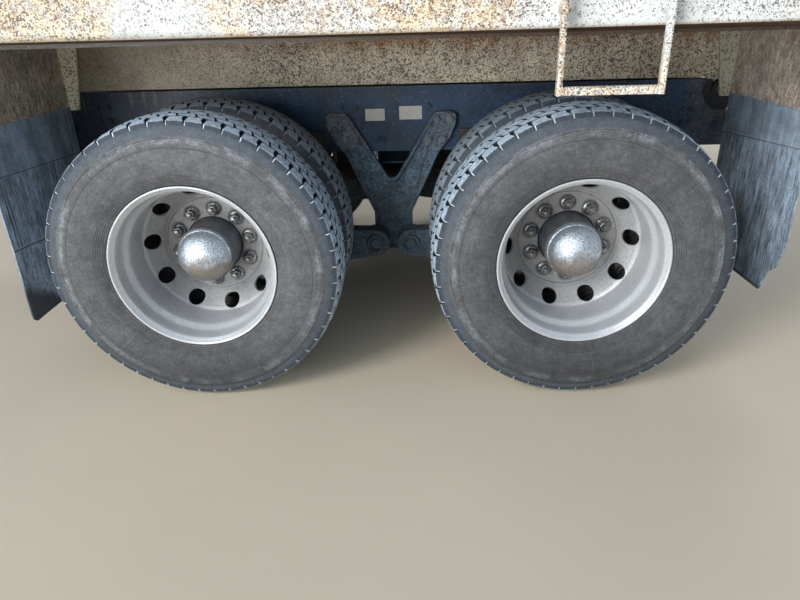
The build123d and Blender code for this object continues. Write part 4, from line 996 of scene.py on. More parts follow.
def hub_centre(axle, side):
    """X and Z of a wheel station's axle, from its hub cap's box."""
    low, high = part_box(f"hub_cap_{axle}_{side}")
    return (low.x + high.x) / 2, (low.z + high.z) / 2


def polar_attribute(mesh):
    """Stores each point's turn and radius about the axle, for the wheels' finishes."""
    values = []
    for vertex in mesh.vertices:
        x, _, z = vertex.co
        radius = max(1e-6, math.hypot(x, z))
        values += [x / radius * 0.4, radius, z / radius * 0.4]
    mesh.attributes.new("polar", "FLOAT_VECTOR", "POINT").data.foreach_set("vector", values)


def stations(master, label, finish_name, slot, turns, node=None):
    """Puts a wheel piece made about the axle on each station, turned by its degrees, for the station's node."""
    for (axle, side), turn in turns.items():
        mesh = master.copy()
        x, z = hub_centre(axle, side)
        way = SIDES[side]
        turned = Matrix.Diagonal((1, way, 1, 1)) @ Matrix.Rotation(math.radians(turn), 4, "Y")
        mesh.transform(Matrix.Translation((x, 0, z)) @ turned)
        if way < 0:
            mesh.flip_normals()
        nodes = (f"{node}_{axle}_{side}",) if node else ()
        seat(f"{label}_{axle}_{side}", mesh, finish(finish_name), f"wheel_{axle}_{side}", slot, *nodes)


TYRE_RADIUS, CROWN_DROP, TREAD_HALF = 525.0, 13.0, 110.0


def crown(offset):
    """Radius of the tread's top at an offset from the tyre's middle."""
    return TYRE_RADIUS - CROWN_DROP * (offset / TREAD_HALF) ** 2


SHOULDER = [
    ((512.0, 110.0), (503.0, 107.5)), ((503.5, 114.4), (497.5, 112.2)), ((496.5, 117.4), (493.0, 115.8)),
    ((489.5, 119.3), (488.5, 119.1)),
]
SIDEWALL = [
    (488.6, 119.9), (480.0, 122.3), (472.0, 125.6), (464.0, 128.7), (462.0, 130.2), (460.4, 130.0),
    (459.2, 128.9), (457.8, 130.4), (446.0, 132.9), (432.0, 135.4), (430.2, 135.0), (429.0, 134.4),
    (427.8, 135.6), (416.0, 138.0), (400.0, 139.3), (384.0, 138.6), (366.0, 136.1), (348.0, 131.9),
    (334.0, 127.7), (326.0, 124.7), (318.0, 121.5), (310.0, 117.8), (304.0, 114.2), (300.0, 111.5),
    (289.0, 106.5), (286.0, 104.0),
]
THIRDS = (0.0, 1 / 3, 2 / 3, 1.0)
# The chafed tone marks the shallow cuts in the shoulder, which the finish paints near white: chafed rubber with a
# painted highlight.
GROOVE_TONE, RUBBER_TONE, CHAFED_AND_LIT_TONE = 0.0, 0.5, 1.0
LEAN = 0.09
CHAFED_AND_LIT_LEVEL = 0.16
INNER_PHASE = 0.37


class Line:
    """One line round the tyre between two rows of the tread, with its top and its groove floor."""

    def __init__(self, offset, top=None, floor=None, steps=(), shift=0.0):
        self.offset, self.top, self.floor, self.steps, self.shift = offset, top, floor, steps, shift

    def turned_over(self):
        """The same line on the tyre's other half, half a pitch on."""
        steps = [((at + 0.5), -move) for at, move in self.steps]
        return Line(-self.offset, self.top, self.floor, steps, self.shift)

    def move_at(self, at):
        """How far the line steps aside at a share of the pitch."""
        if not self.steps:
            return 0.0
        marks = sorted((a % 1.0, m) for a, m in self.steps)
        marks = [(marks[-1][0] - 1.0, marks[-1][1])] + marks + [(marks[0][0] + 1.0, marks[0][1])]
        for (a0, m0), (a1, m1) in zip(marks, marks[1:]):
            if a0 <= at <= a1:
                return m0 + (m1 - m0) * (at - a0) / max(1e-9, a1 - a0)
        return 0.0

    def breaks(self):
        """Where the line has a corner."""
        return [a % 1.0 for a, _ in self.steps]

    def spot(self, at, level, depth):
        """(radius, offset) at a share of the pitch, from the top (level 0) to the groove's floor (level 1)."""
        way = -1.0 if self.offset < 0 else 1.0
        if self.top:
            radius = self.top[0] + (self.floor[0] - self.top[0]) * level
            return radius, way * (self.top[1] + (self.floor[1] - self.top[1]) * level)
        offset = self.offset + self.move_at(at)
        return crown(offset) - depth * level, offset


def weave(size, first, slope=0.14):
    """Steps of a zigzag line: aside by size for half the pitch and back."""
    return [(first, -size), (first + 0.5 - slope, -size), (first + 0.5, size), (first + 1.0 - slope, size)]


def tread_half():
    """Lines from the tyre's middle outwards, and the (start, end, level) cuts in each row between them."""
    half = sizes().groove_width / MM / 2
    lines, rows = [Line(0.0)], []

    def row(line, *cuts):
        lines.append(line)
        rows.append(list(cuts))

    row(Line(half, steps=weave(2.2, 0.1)), (0.0, 1.0, 1.0))
    row(Line(9.0, shift=-LEAN))
    row(Line(40.0 - half, steps=weave(2.4, 0.62), shift=LEAN), (0.59, 0.73, 1.0))
    row(Line(40.0 + half, steps=weave(2.4, 0.80), shift=-LEAN), (0.0, 1.0, 1.0))
    row(Line(71.5 - half, steps=weave(2.0, 0.30), shift=LEAN), (0.17, 0.31, 1.0))
    row(Line(71.5 + half, steps=weave(2.0, 0.39), shift=0.0), (0.0, 1.0, 1.0))
    row(Line(96.0), (0.64, 0.88, 1.0), (0.88, 0.935, CHAFED_AND_LIT_LEVEL))
    row(Line(103.5), (0.71, 0.88, 1.0), (0.88, 0.935, CHAFED_AND_LIT_LEVEL))
    row(Line(TREAD_HALF, *SHOULDER[0]), (0.76, 0.88, 1.0), (0.88, 0.94, CHAFED_AND_LIT_LEVEL))
    row(Line(TREAD_HALF, *SHOULDER[1]), (0.80, 0.88, 1.0), (0.88, 0.94, CHAFED_AND_LIT_LEVEL))
    row(Line(TREAD_HALF, *SHOULDER[2]), (0.85, 0.885, 1.0), (0.885, 0.94, CHAFED_AND_LIT_LEVEL))
    row(Line(TREAD_HALF, *SHOULDER[3]))
    for spot in SIDEWALL:
        row(Line(TREAD_HALF, spot, spot))
    return lines, rows


def halved(cuts):
    """The cuts of the other half, half a pitch on and split where they cross the pitch's end."""
    moved = []
    for start, end, level in cuts:
        if end - start >= 1.0:
            moved.append((start, end, level))
            continue
        start, end = start + 0.5, end + 0.5
        if start >= 1.0:
            start, end = start - 1.0, end - 1.0
        if end > 1.0:
            moved += [(start, 1.0, level), (0.0, end - 1.0, level)]
        else:
            moved.append((start, end, level))
    return sorted(moved)


def tyre_pitch(shell, centre, phase):
    """One pitch of a tyre: tread blocks with their grooves, both sidewalls and the bore."""
    pitch = math.tau / sizes().tread_pitches
    depth = sizes().tread_depth / MM
    outer_lines, outer_rows = tread_half()
    lines = [line.turned_over() for line in reversed(outer_lines[1:])] + outer_lines
    rows = [halved(row) for row in reversed(outer_rows)] + outer_rows
    cells = []
    for row in rows:
        marks = sorted({0.0, 1.0, *(m for start, end, _ in row for m in (start, end))}) if row else list(THIRDS)
        levels = [
            next((level for s, e, level in row if s - 1e-9 <= a and b <= e + 1e-9), 0.0)
            for a, b in zip(marks, marks[1:])
        ]
        cells.append([(a, b, level) for a, b, level in zip(marks, marks[1:], levels)])
    marks_of = []
    for i, line in enumerate(lines):
        marks = set(THIRDS) | set(line.breaks())
        for near in (i - 1, i):
            if 0 <= near < len(cells):
                marks |= {m for a, b, _ in cells[near] for m in (a, b)}
        cleaned = []
        for mark in sorted(marks):
            if not cleaned or mark - cleaned[-1] > 1e-6:
                cleaned.append(mark)
        marks_of.append(cleaned)
    points, found, faces, tones = [], {}, [], []

    def point(i, at, level):
        line = lines[i]
        if line.top and line.top == line.floor:
            level = 0.0
        key = (i, round(at, 5), level)
        if key not in found:
            radius, offset = line.spot(at, level, depth)
            found[key] = len(points)
            points.append(round_about(radius, centre + offset, (at + line.shift + phase) * pitch))
        return found[key]

    def face(corners, tone):
        kept = tuple(dict.fromkeys(corners))
        if len(kept) > 2:
            faces.append(kept)
            tones.append(tone)

    def tone_of(*levels):
        if any(0.0 < level < 1.0 for level in levels):
            return CHAFED_AND_LIT_TONE
        return GROOVE_TONE if max(levels) == 1.0 else RUBBER_TONE

    for i, row in enumerate(cells):
        for a, b, level in row:
            near = [point(i, m, level) for m in marks_of[i] if a - 1e-6 <= m <= b + 1e-6]
            far = [point(i + 1, m, level) for m in marks_of[i + 1] if a - 1e-6 <= m <= b + 1e-6]
            if len(near) == len(far):
                for k in range(len(near) - 1):
                    face((near[k], near[k + 1], far[k + 1], far[k]), tone_of(level))
            else:
                face(near + far[::-1], tone_of(level))
        for before, here in zip(row[-1:] + row[:-1], row):
            if before[2] != here[2]:
                at, low, high = here[0], min(before[2], here[2]), max(before[2], here[2])
                face(
                    (point(i, at, low), point(i + 1, at, low), point(i + 1, at, high), point(i, at, high)),
                    tone_of(before[2], here[2]),
                )

    def level_at(i, at):
        return next(level for a, b, level in cells[i] if a <= at <= b)

    for i in range(1, len(lines) - 1):
        for a, b in zip(marks_of[i], marks_of[i][1:]):
            before, here = level_at(i - 1, (a + b) / 2), level_at(i, (a + b) / 2)
            if before != here:
                face((point(i, a, before), point(i, b, before), point(i, b, here), point(i, a, here)), GROOVE_TONE)
    last = len(lines) - 1
    for a, b in zip(THIRDS, THIRDS[1:]):
        face((point(0, a, 0.0), point(0, b, 0.0), point(last, b, 0.0), point(last, a, 0.0)), RUBBER_TONE)
    shell.add(points, faces)
    shell.tones += tones


class TANDEM_OT_tyres(bpy.types.Operator):
    """Twin tyres of the four wheel stations, with their tread"""

    bl_idname = "tandem.tyres"
    bl_label = "Tyres"

    def execute(self, context):
        shell = Shell()
        tyre_pitch(shell, OUTER_Y, 0.0)
        tyre_pitch(shell, INNER_Y, INNER_PHASE)
        pitch = shell.mesh("tyre_pitch", outward=False)
        master = ringed(pitch, sizes().tread_pitches, 0.0, finish("tyre_rubber"))
        polar_attribute(master)
        stations(master, "twin_tyres", "tyre_rubber", "tyre_rubber", TREAD_TURNS, "tyres")
        return {"FINISHED"}


RIM_FACE = [
    (285.75, 103.5), (290.0, 107.0), (294.0, 111.0), (298.5, 113.5), (299.3, 116.0), (298.0, 118.0),
    (295.5, 118.6), (292.5, 117.6), (289.0, 113.0), (284.0, 106.0), (279.5, 102.5), (277.6, 98.0),
    (276.6, 80.0), (275.5, 60.0), (274.0, 50.0), (271.0, 44.0), (264.0, 34.0), (259.5, 26.0), (257.6, 18.0),
    (257.3, -10.0), (257.2, -45.0), (257.2, -78.0), (256.8, -83.0), (255.2, -86.5),
]
CONE_FOOT, CONE_RISE, CONE_HEIGHT = (188.0, -160.5), 70.0, 72.0
CONE_SLOPE = math.hypot(CONE_RISE, CONE_HEIGHT)
HOLE_SLOPE, HOLE_RADIUS, HOLE_STRETCH, DISC_THICK = 57.0, 31.0, 1.17, 11.0
DISC_FLAT = [
    (193.6, -157.2), (192.2, -160.2), (190.6, -159.6), (189.4, -158.4), (187.0, -158.0), (185.0, -158.6),
    (183.2, -160.5), (150.0, -160.5), (113.0, -160.5), (110.8, -161.3), (110.0, -163.0), (110.0, -171.5),
    (150.0, -171.5), (186.0, -171.5),
]
RIM_BACK = [(266.0, -99.5), (277.6, -104.0), (285.0, -109.0)] + [(r, -o) for r, o in reversed(RIM_FACE[:8])]
PATCH_ALONG, PATCH_UP, PATCH_LOW, PATCH_HIGH = 8, 4, 14.5, 98.0
CONE_START = 12.0
HOLE_EDGE = [
    (3.4, 0.0), (2.2, 0.0), (0.6, 0.7), (0.0, 2.2), (0.0, DISC_THICK - 1), (1.5, DISC_THICK), (3.4, DISC_THICK),
]


def on_cone(slope, depth=0.0):
    """(radius, offset) on the dished disc's cone, from its foot up the slope."""
    radius = CONE_FOOT[0] + slope * CONE_RISE / CONE_SLOPE + depth * CONE_HEIGHT / CONE_SLOPE
    offset = CONE_FOOT[1] + slope * CONE_HEIGHT / CONE_SLOPE - depth * CONE_RISE / CONE_SLOPE
    return radius, offset


def rim_sector(shell, centre, way):
    """A tenth of a disc wheel, with one hand hole in its cone."""
    reach = math.pi / HAND_HOLES
    turns = [reach * (2 * k / PATCH_ALONG - 1) for k in range(PATCH_ALONG + 1)]
    low, high = PATCH_LOW, PATCH_HIGH

    def spot(radius, offset, turn):
        return round_about(radius, centre + way * offset, turn)

    def strip(profile):
        shell.skin([[spot(r, o, turn) for turn in turns] for r, o in profile])

    strip(RIM_FACE + [on_cone(high)])
    behind = [on_cone(slope, DISC_THICK) for slope in (CONE_START, low, high)]
    strip([on_cone(low), on_cone(CONE_START)] + DISC_FLAT + behind[:2])
    strip(behind[2:] + RIM_BACK + [RIM_FACE[0]])
    edge = [(high, turn) for turn in turns]
    edge += [(high + (low - high) * k / PATCH_UP, reach) for k in range(1, PATCH_UP)]
    edge += [(low, turn) for turn in reversed(turns)]
    edge += [(low + (high - low) * k / PATCH_UP, -reach) for k in range(1, PATCH_UP)]
    hole_radius = on_cone(HOLE_SLOPE)[0]

    def loop(radius, depth):
        points = []
        for slope, turn in edge:
            up, along = slope - HOLE_SLOPE, turn * hole_radius
            reach_out = math.hypot(up, along)
            s = HOLE_SLOPE + up / reach_out * radius * HOLE_STRETCH
            t = along / reach_out * radius / on_cone(s)[0]
            points.append(spot(*on_cone(s, depth), t))
        return points

    loops = [[spot(*on_cone(s), t) for s, t in edge]]
    loops += [loop(HOLE_RADIUS + wider, depth) for wider, depth in HOLE_EDGE]
    loops.append([spot(*on_cone(s, DISC_THICK), t) for s, t in edge])
    shell.skin(loops, closed=True)


class TANDEM_OT_rims(bpy.types.Operator):
    """Outer and inner disc wheels with their hand holes"""

    bl_idname = "tandem.rims"
    bl_label = "Disc wheels"

    def execute(self, context):
        for label, centre, way in (("outer", OUTER_Y, 1), ("inner", INNER_Y, -1)):
            shell = Shell()
            rim_sector(shell, centre, way)
            master = ringed(shell.mesh("rim_sector", outward=False), HAND_HOLES, 0.0, finish("rim_paint"), 40.0)
            polar_attribute(master)
            stations(master, f"disc_wheel_{label}", "rim_paint", "rim_paint", HOLE_TURNS, f"{label}_rim")
        return {"FINISHED"}


def wheel_nut(circle_radius, base):
    """A flanged nut on its stud, standing on the disc's face."""
    size = sizes()
    flange, top, stud = size.nut_flange / MM / 2, size.nut_height / MM, size.stud_height / MM
    shell = Shell()

    def place(u, v, w):
        return u, base + w, circle_radius + v

    foot = [(-0.6, 0.0), (0.0, 0.8), (0.0, 3.2), (-1.2, 4.6), (-5.0, 6.6)]
    shell.lathe([(flange + wider, height) for wider, height in foot] + [(15.5, 8.6)], 24, about(0.0, 0.0, place))
    shell.layered(hexagon(size.nut_flats / MM), [(0.0, 4.0), (0.0, top - 2.2), (2.6, top)], place)
    thread = [(10.5, top - 1.0), (10.5, stud - 2.5), (9.6, stud - 0.8), (7.5, stud)]
    shell.lathe(thread, 14, about(0.0, 0.0, place))
    return shell.mesh("nut")


class TANDEM_OT_nuts(bpy.types.Operator):
    """Ten flanged nuts on their studs on each outer disc wheel"""

    bl_idname = "tandem.nuts"
    bl_label = "Wheel nuts"

    def execute(self, context):
        nut = wheel_nut(NUT_CIRCLE, DISC_FACE_Y)
        master = ringed(nut, HAND_HOLES, math.pi / HAND_HOLES, finish("nut_steel"))
        stations(master, "wheel_nuts", "nut_steel", "bare_steel", HOLE_TURNS)
        return {"FINISHED"}


HUB = [
    (55.3, 838.5), (55.3, 1044.5), (57.0, 1045.5), (103.0, 1045.5), (105.0, 1043.5), (105.0, 1036.0),
    (103.2, 1034.5), (103.2, 935.0), (105.0, 931.0), (105.0, 896.5), (166.0, 896.5), (168.0, 894.5),
    (168.0, 872.5), (190.0, 870.0), (216.0, 845.0), (222.0, 836.0), (222.0, 820.0), (219.0, 818.0),
    (219.0, 790.0), (222.0, 788.0), (222.0, 776.0), (219.0, 774.0), (219.0, 720.0), (222.0, 716.0),
    (222.0, 668.5), (220.0, 666.5), (209.0, 666.5), (209.0, 822.5), (168.0, 840.5), (105.0, 840.5),
    (105.0, 804.5), (55.3, 804.5),
]
CAP = [
    (98.0, 1045.5), (99.0, 1046.5), (99.0, 1050.5), (97.6, 1052.0), (95.8, 1052.6), (95.0, 1054.0),
    (94.6, 1058.0), (93.4, 1067.0), (90.5, 1077.5), (85.8, 1088.0), (79.0, 1098.0), (70.0, 1107.3),
    (59.0, 1115.3), (46.0, 1121.7), (31.5, 1126.2), (16.0, 1128.8), (5.0, 1129.5),
]


class TANDEM_OT_hubs(bpy.types.Operator):
    """Hubs with their brake drums, and the plated hub caps"""

    bl_idname = "tandem.hubs"
    bl_label = "Hubs and caps"

    def execute(self, context):
        drum, cap = Shell(), Shell()
        drum.lathe(HUB, 72, round_about, ring=True)
        cap.lathe(CAP, 64, round_about)
        pieces = ((drum, "hub_drum", "hub_black", "hub_iron", 35), (cap, "hub_cap", "cap_chrome", "cap_chrome", 50))
        for shell, label, material, slot, sharp in pieces:
            master = shell.mesh(label)
            master.set_sharp_from_angle(angle=math.radians(sharp))
            stations(master, label + "_dressed", material, slot, dict.fromkeys(TREAD_TURNS, 0.0), label)
        return {"FINISHED"}


# ---------------------------------------------------------------- chassis pieces

HANGER_HALF = [
    (190.0, 943.0), (284.0, 943.0), (279.0, 888.0), (252.0, 826.0), (207.0, 772.0), (86.0, 505.0),
    (86.0, 325.0),
]
HANGER_PAD = [
    (200.0, 932.0), (274.0, 932.0), (270.0, 890.0), (245.0, 836.0), (206.0, 788.0), (150.0, 796.0),
    (138.0, 832.0),
]
HANGER_RIDGE = [(148.0, 798.0), (161.0, 798.0), (108.0, 606.0), (98.0, 606.0)]
HANGER_RIM = [
    (0.0, 432.0), (0.0, 459.0), (1.4, 462.0), (4.0, 463.6), (7.5, 463.6), (11.0, 462.0), (14.0, 457.5),
    (17.0, 453.6), (20.5, 452.2),
]
HANGER_FLOOR_Y, PAD_Y, RIDGE_Y = 451.0, 459.0, 455.5
LUMP = [(1.0, 458.0), (0.8, 460.4), (0.45, 462.0), (0.12, 462.6)]
HANGER_EYES = [(-79.0, 384.0), (79.0, 384.0)]
HANGER_EYE = [
    ([(60.0, 452.0), (60.0, 469.0), (57.5, 472.0), (40.0, 472.0)], 40),
    ([(32.0, 471.0), (32.0, 549.0)], 32),
    (
        [
            (38.5, 548.0), (40.0, 549.5), (40.0, 556.5), (37.5, 560.0), (30.0, 560.0), (27.5, 553.0),
            (24.5, 553.0), (22.5, 558.5), (18.0, 560.0), (6.0, 560.0),
        ],
        32,
    ),
]
HANGER_LUMPS = [
    (208, 868, 25), (243, 872, 15), (182, 862, 13), (226, 903, 14), (196, 830, 14), (170, 880, 9),
    (240, 845, 9),
]
HANGER_BOLTS = [(197, 912), (255, 909), (163, 824), (226, 828), (-258, 907), (-192, 905), (-226, 820), (-158, 828)]
WEB_BOLTS = [(-214, 967), (-151, 960), (-54, 827), (-35, 823), (164, 964)]
BRACKET_BOLTS = [(x, z) for x in (-1276, -1230, 1244, 1276) for z in (812, 870, 928, 986)]
WEB_Y, BOLT_SEAT_Y = 432.0, 458.5
GUSSET_X, GUSSET_Z, GUSSET_Y = (1285.0, 1352.0), (900.0, 1042.0), (405.0, 423.0)
LABELS = [((-111, -27), (905, 955)), ((36, 134), (908, 964))]


class TANDEM_OT_hangers(bpy.types.Operator):
    """The V-shaped centre hangers: rimmed castings with their eyes and pins"""

    bl_idname = "tandem.hangers"
    bl_label = "Centre hangers"

    def execute(self, context):
        outline = rounded([(0.0, 633.0)] + HANGER_HALF + [(-x, z) for x, z in reversed(HANGER_HALF)], 26.0)
        for side, way in SIDES.items():
            place = across(way)
            shell = Shell()
            shell.layered(outline, HANGER_RIM, place)
            for hand in (-1, 1):
                pad, ridge = ([(hand * x, z) for x, z in points[::hand]] for points in (HANGER_PAD, HANGER_RIDGE))
                shell.prism(rounded(pad, 12.0), HANGER_FLOOR_Y, PAD_Y, place, 3.0)
                shell.prism(rounded(ridge, 3.0, 2), HANGER_FLOOR_Y, RIDGE_Y, place, 2.0)
                for x, z, reach in HANGER_LUMPS:
                    shell.lathe([(reach * wide, y) for wide, y in LUMP], 14, about(hand * x, z, place, 0.85))
            for spot in HANGER_EYES:
                for profile, steps in HANGER_EYE:
                    shell.lathe(profile, steps, about(*spot, place))
            node = f"centre_hanger_{side}"
            seat(
                f"hanger_casting_{side}", shell.mesh("hanger"), finish("hanger_iron"), "chassis",
                "suspension_iron", node,
            )
        return {"FINISHED"}


def bolt_head():
    """A washer and a hexagonal head, raised along Z from its seat."""
    size = sizes()
    flats, height = size.frame_bolt_flats / MM, size.frame_bolt_height / MM
    shell = Shell()
    spun = about(0.0, 0.0, upright)
    shell.lathe([(flats * wide, z) for wide, z in ((0.66, 0.0), (0.66, 2.6), (0.62, 3.2), (0.5, 3.2))], 20, spun)
    shell.prism(hexagon(flats), 3.0, 3.0 + height, upright, 1.8)
    shell.lathe([(8.0, 2.5 + height), (8.0, 8.0 + height), (6.8, 9.2 + height)], 12, spun)
    return shell.mesh("bolt_head")


def bolt_place(x, z, y, way, spin, size):
    """The place of a Z-up bolt head on a face that looks out to one side."""
    turn = Matrix.Rotation(math.radians(-90.0 * way), 4, "X") @ Matrix.Rotation(math.radians(spin), 4, "Z")
    return (x * MM, way * y * MM, z * MM), tuple(turn.to_euler()), size


class TANDEM_OT_frame_bolts(bpy.types.Operator):
    """Bolts of the hangers and rails, and the gussets of the hinge brackets"""

    bl_idname = "tandem.frame_bolts"
    bl_label = "Frame bolts"

    def execute(self, context):
        head, gussets = bolt_head(), Shell()
        on_hangers, on_webs = [], []
        for way in SIDES.values():
            gussets.prism(oblong(GUSSET_X, GUSSET_Z), *GUSSET_Y, across(way), 1.5)
            on_hangers += [bolt_place(*spot, BOLT_SEAT_Y, way, 17 * i, 0.84) for i, spot in enumerate(HANGER_BOLTS)]
            on_webs += [bolt_place(*spot, WEB_Y, way, 23 * i, 0.62) for i, spot in enumerate(WEB_BOLTS)]
            on_webs += [bolt_place(*spot, WEB_Y, way, sum(spot), 0.7) for spot in BRACKET_BOLTS]
        # Painted shade: the gussets take the near-black shaded iron.
        seat("hinge_gussets", gussets.mesh("gussets"), finish("shaded_iron"), "chassis", "axle_iron")
        groups = (
            ("hanger_bolts", on_hangers, "bolt_iron", "suspension_iron"),
            ("web_bolts", on_webs, "chassis_paint", "chassis_paint"),
        )
        for label, places, material, slot in groups:
            seat(label, placed(head.copy(), places, finish(material)), finish(material), "chassis", slot)
        return {"FINISHED"}


SPRING_X, SPRING_Y = 1010.0, 430.0
SPRING_BELLOWS = [
    (84.0, 566.0), (92.0, 562.0), (104.0, 563.0), (115.0, 569.0), (122.5, 580.0), (125.0, 594.0),
    (125.0, 640.0), (124.5, 690.0), (122.0, 715.0), (116.0, 738.0), (108.0, 752.0), (104.0, 759.0),
]
SPRING_PISTON = [(84.0, 459.0), (88.0, 461.0), (88.0, 474.0), (82.0, 500.0), (82.0, 560.0), (86.0, 572.0)]
SPRING_PLATE = [(103.0, 758.0), (106.0, 760.0), (106.0, 764.0), (102.0, 767.0), (102.0, 774.0)]


class TANDEM_OT_air_springs(bpy.types.Operator):
    """Air springs: a piston, rolled rubber bellows and a bead plate"""

    bl_idname = "tandem.air_springs"
    bl_label = "Air springs"

    def execute(self, context):
        for label, profile, material, slot, *nodes in (
            ("spring_bellows", SPRING_BELLOWS, "spring_rubber", "spring_rubber", "air_springs"),
            ("spring_pistons", SPRING_PISTON, "axle_iron", "suspension_iron"),
            ("spring_plates", SPRING_PLATE, "axle_iron", "suspension_iron"),
        ):
            shell = Shell()
            for end in ENDS.values():
                for way in SIDES.values():
                    shell.lathe(profile, 48, about(end * SPRING_X, way * SPRING_Y, upright))
            seat(label, shell.mesh(label), finish(material), "chassis", slot, *nodes)
        return {"FINISHED"}


FLAP_Y, FLAP_TOP = (438.0, 1064.0), 1045.0
FLAP_COLUMNS, FLAP_LEVELS, FLAP_THICK = 104, 40, 5.4
FRONT_RIDGES_Y = (1012.0, 1030.0)
FLAPS = {
    "front": dict(
        face=-1391.0, crease=(782.0, 0.040),
        foot=[(438.0, 252.0), (1040.0, 256.0), (1058.0, 268.0), (1064.0, 290.0)],
    ),
    "rear": dict(
        face=1421.0, crease=(807.0, 0.063),
        foot=[(438.0, 318.0), (955.0, 318.0), (987.0, 402.0), (1030.0, 438.0), (1058.0, 520.0), (1064.0, 560.0)],
    ),
}


def level_along(points, at):
    """Height of a line of (distance, height) points at a distance."""
    for (a0, z0), (a1, z1) in zip(points, points[1:]):
        if at <= a1:
            return z0 + (z1 - z0) * (at - a0) / (a1 - a0)
    return points[-1][1]


def flap_sheet(shell, end, way):
    """A rubber flap: smooth above its crease, faintly ribbed below it, and curled at the bottom."""
    spec, out = FLAPS[end], ENDS[end]
    ridge = sizes().flap_ridge / MM
    inner, outer = FLAP_Y
    front, back = [], []
    for j in range(FLAP_LEVELS + 1):
        near, far = [], []
        for i in range(FLAP_COLUMNS + 1):
            u = i / FLAP_COLUMNS
            y = inner + (outer - inner) * u
            bottom = level_along(spec["foot"], y)
            z = FLAP_TOP + (bottom - FLAP_TOP) * j / FLAP_LEVELS
            fall = spec["crease"][0] + spec["crease"][1] * y
            under = min(1.0, max(0.0, (fall - z) / 14.0))
            lip = math.exp(-(((fall - z) / 9.0) ** 2))
            free = max(0.0, (fall - z) / (fall - bottom))
            ribs = ridge * under * (0.5 + 0.5 * math.cos(math.tau * i / 2.0))
            if end == "front":
                for centre in FRONT_RIDGES_Y:
                    swell = math.exp(-(((y - centre) / 5.0) ** 2))
                    ribs += 2.6 * under * swell * min(1.0, max(0.0, (z - 545.0) / 20.0))
                curl = 7.0 * math.sin(math.pi * u) * free - 2.0 * free
                lip += 1.2 * math.exp(-(((535.0 + 0.094 * (y - 871.0) - z) / 8.0) ** 2))
            else:
                curl = 9.0 * free * free * max(0.0, (u - 0.5) / 0.5) ** 2
            wave = 1.6 * math.sin(7.0 * u + 2.0) * free
            face = spec["face"] + out * (4.0 - ribs + curl * 0.5 + wave + 1.6 * under - 1.8 * lip)
            near.append((face, way * y, z))
            far.append((face + out * FLAP_THICK, way * y, z))
        front.append(near)
        back.append(far[::-1])
    shell.skin([near + far for near, far in zip(front, back)], closed=True)
    shell.skin([front[0], back[0][::-1]])
    shell.skin([front[-1], back[-1][::-1]])


class TANDEM_OT_mud_flaps(bpy.types.Operator):
    """Rubber mud flaps, creased and ribbed"""

    bl_idname = "tandem.mud_flaps"
    bl_label = "Mud flaps"

    def execute(self, context):
        for side, way in SIDES.items():
            shell = Shell()
            for end in ENDS:
                flap_sheet(shell, end, way)
            mesh = shell.mesh("flaps")
            mesh.set_sharp_from_angle(angle=math.radians(50))
            seat(f"rubber_flaps_{side}", mesh, finish("flap_rubber"), "chassis", "flap_rubber", f"mud_flaps_{side}")
        return {"FINISHED"}


STEP_BAR, STEP_LEGS_X, STEP_Y, STEP_Z = 17.0, (525.0, 823.0), (1259.0, 1284.0), (1094.0, 1450.0)
STEP_ARMS_Z, STEP_ARM_WIDE, STEP_ARM_Y = (1315.0, 1425.0), 25.0, (1219.0, 1260.0)
RUNG_X, RUNG_TEETH_Z = (541.0, 824.0), (1119.0, 1119.0, 1114.5, 1114.5)
RUNG = [(1259.5, 1096.0), (1261.0, 1094.5), (1282.0, 1094.5), (1283.5, 1096.0)]


class TANDEM_OT_steps(bpy.types.Operator):
    """Square-bar access steps with a toothed rung"""

    bl_idname = "tandem.steps"
    bl_label = "Access steps"

    def execute(self, context):
        low, high = RUNG_X
        count = 4 * int((STEP_LEGS_X[1] - STEP_LEGS_X[0] - STEP_BAR) / (sizes().rung_tooth / MM))
        for side, way in SIDES.items():
            shell = Shell()
            for x in STEP_LEGS_X:
                bar = (x, x + STEP_BAR)
                shell.prism(rounded(oblong(bar, STEP_Y), 3.0, 2), *STEP_Z, lambda u, v, w: (u, way * v, w), 2.0)
                for z in STEP_ARMS_Z:
                    arm = rounded(oblong(bar, (z, z + STEP_ARM_WIDE)), 3.0, 2)
                    shell.prism(arm, *STEP_ARM_Y, across(way))
            rows = []
            for k in range(count + 1):
                x, top = low + (high - low) * k / count, RUNG_TEETH_Z[k % 4]
                section = RUNG + [(RUNG[-1][0], top), (RUNG[0][0], top)]
                rows.append([(x, way * y, z) for y, z in section])
            shell.solid(rows)
            node = f"access_step_{side}"
            seat(f"step_bars_{side}", shell.mesh("step"), finish("step_paint"), "tipping_body", "rail_paint", node)
        return {"FINISHED"}


class TANDEM_OT_labels(bpy.types.Operator):
    """Blank labels on the rails' webs"""

    bl_idname = "tandem.labels"
    bl_label = "Blank labels"

    def execute(self, context):
        shell = Shell()
        for way in SIDES.values():
            for xs, zs in LABELS:
                shell.prism(rounded(oblong(xs, zs), 3.0, 3), WEB_Y, WEB_Y + 1.0, across(way), 0.4)
        seat("blank_labels", shell.mesh("labels"), finish("label_white"), "chassis", "chassis_paint")
        return {"FINISHED"}


NODE_FINISHES = {
    "chassis_paint": ("frame_rail_left", "frame_rail_right", "frame_crossmembers"),
    # Painted shade: the hinge brackets are coloured near black for the shadow they sit in.
    "shaded_iron": ("hinge_brackets",),
    "hanger_iron": ("support_arms_left", "support_arms_right", "torque_rods"),
    "axle_iron": ("front_axle_housing", "rear_axle_housing", "propshaft", "brake_chambers", "shock_absorbers"),
    "rusty_plate": ("flap_brackets_left", "flap_brackets_right"),
    "bare_steel": ("hinge_shaft",),
    "body_paint": ("long_sills", "cross_sills"),
    "plate_paint": ("floor_plate",),
    "rail_paint": ("side_rail_left", "side_rail_right"),
}


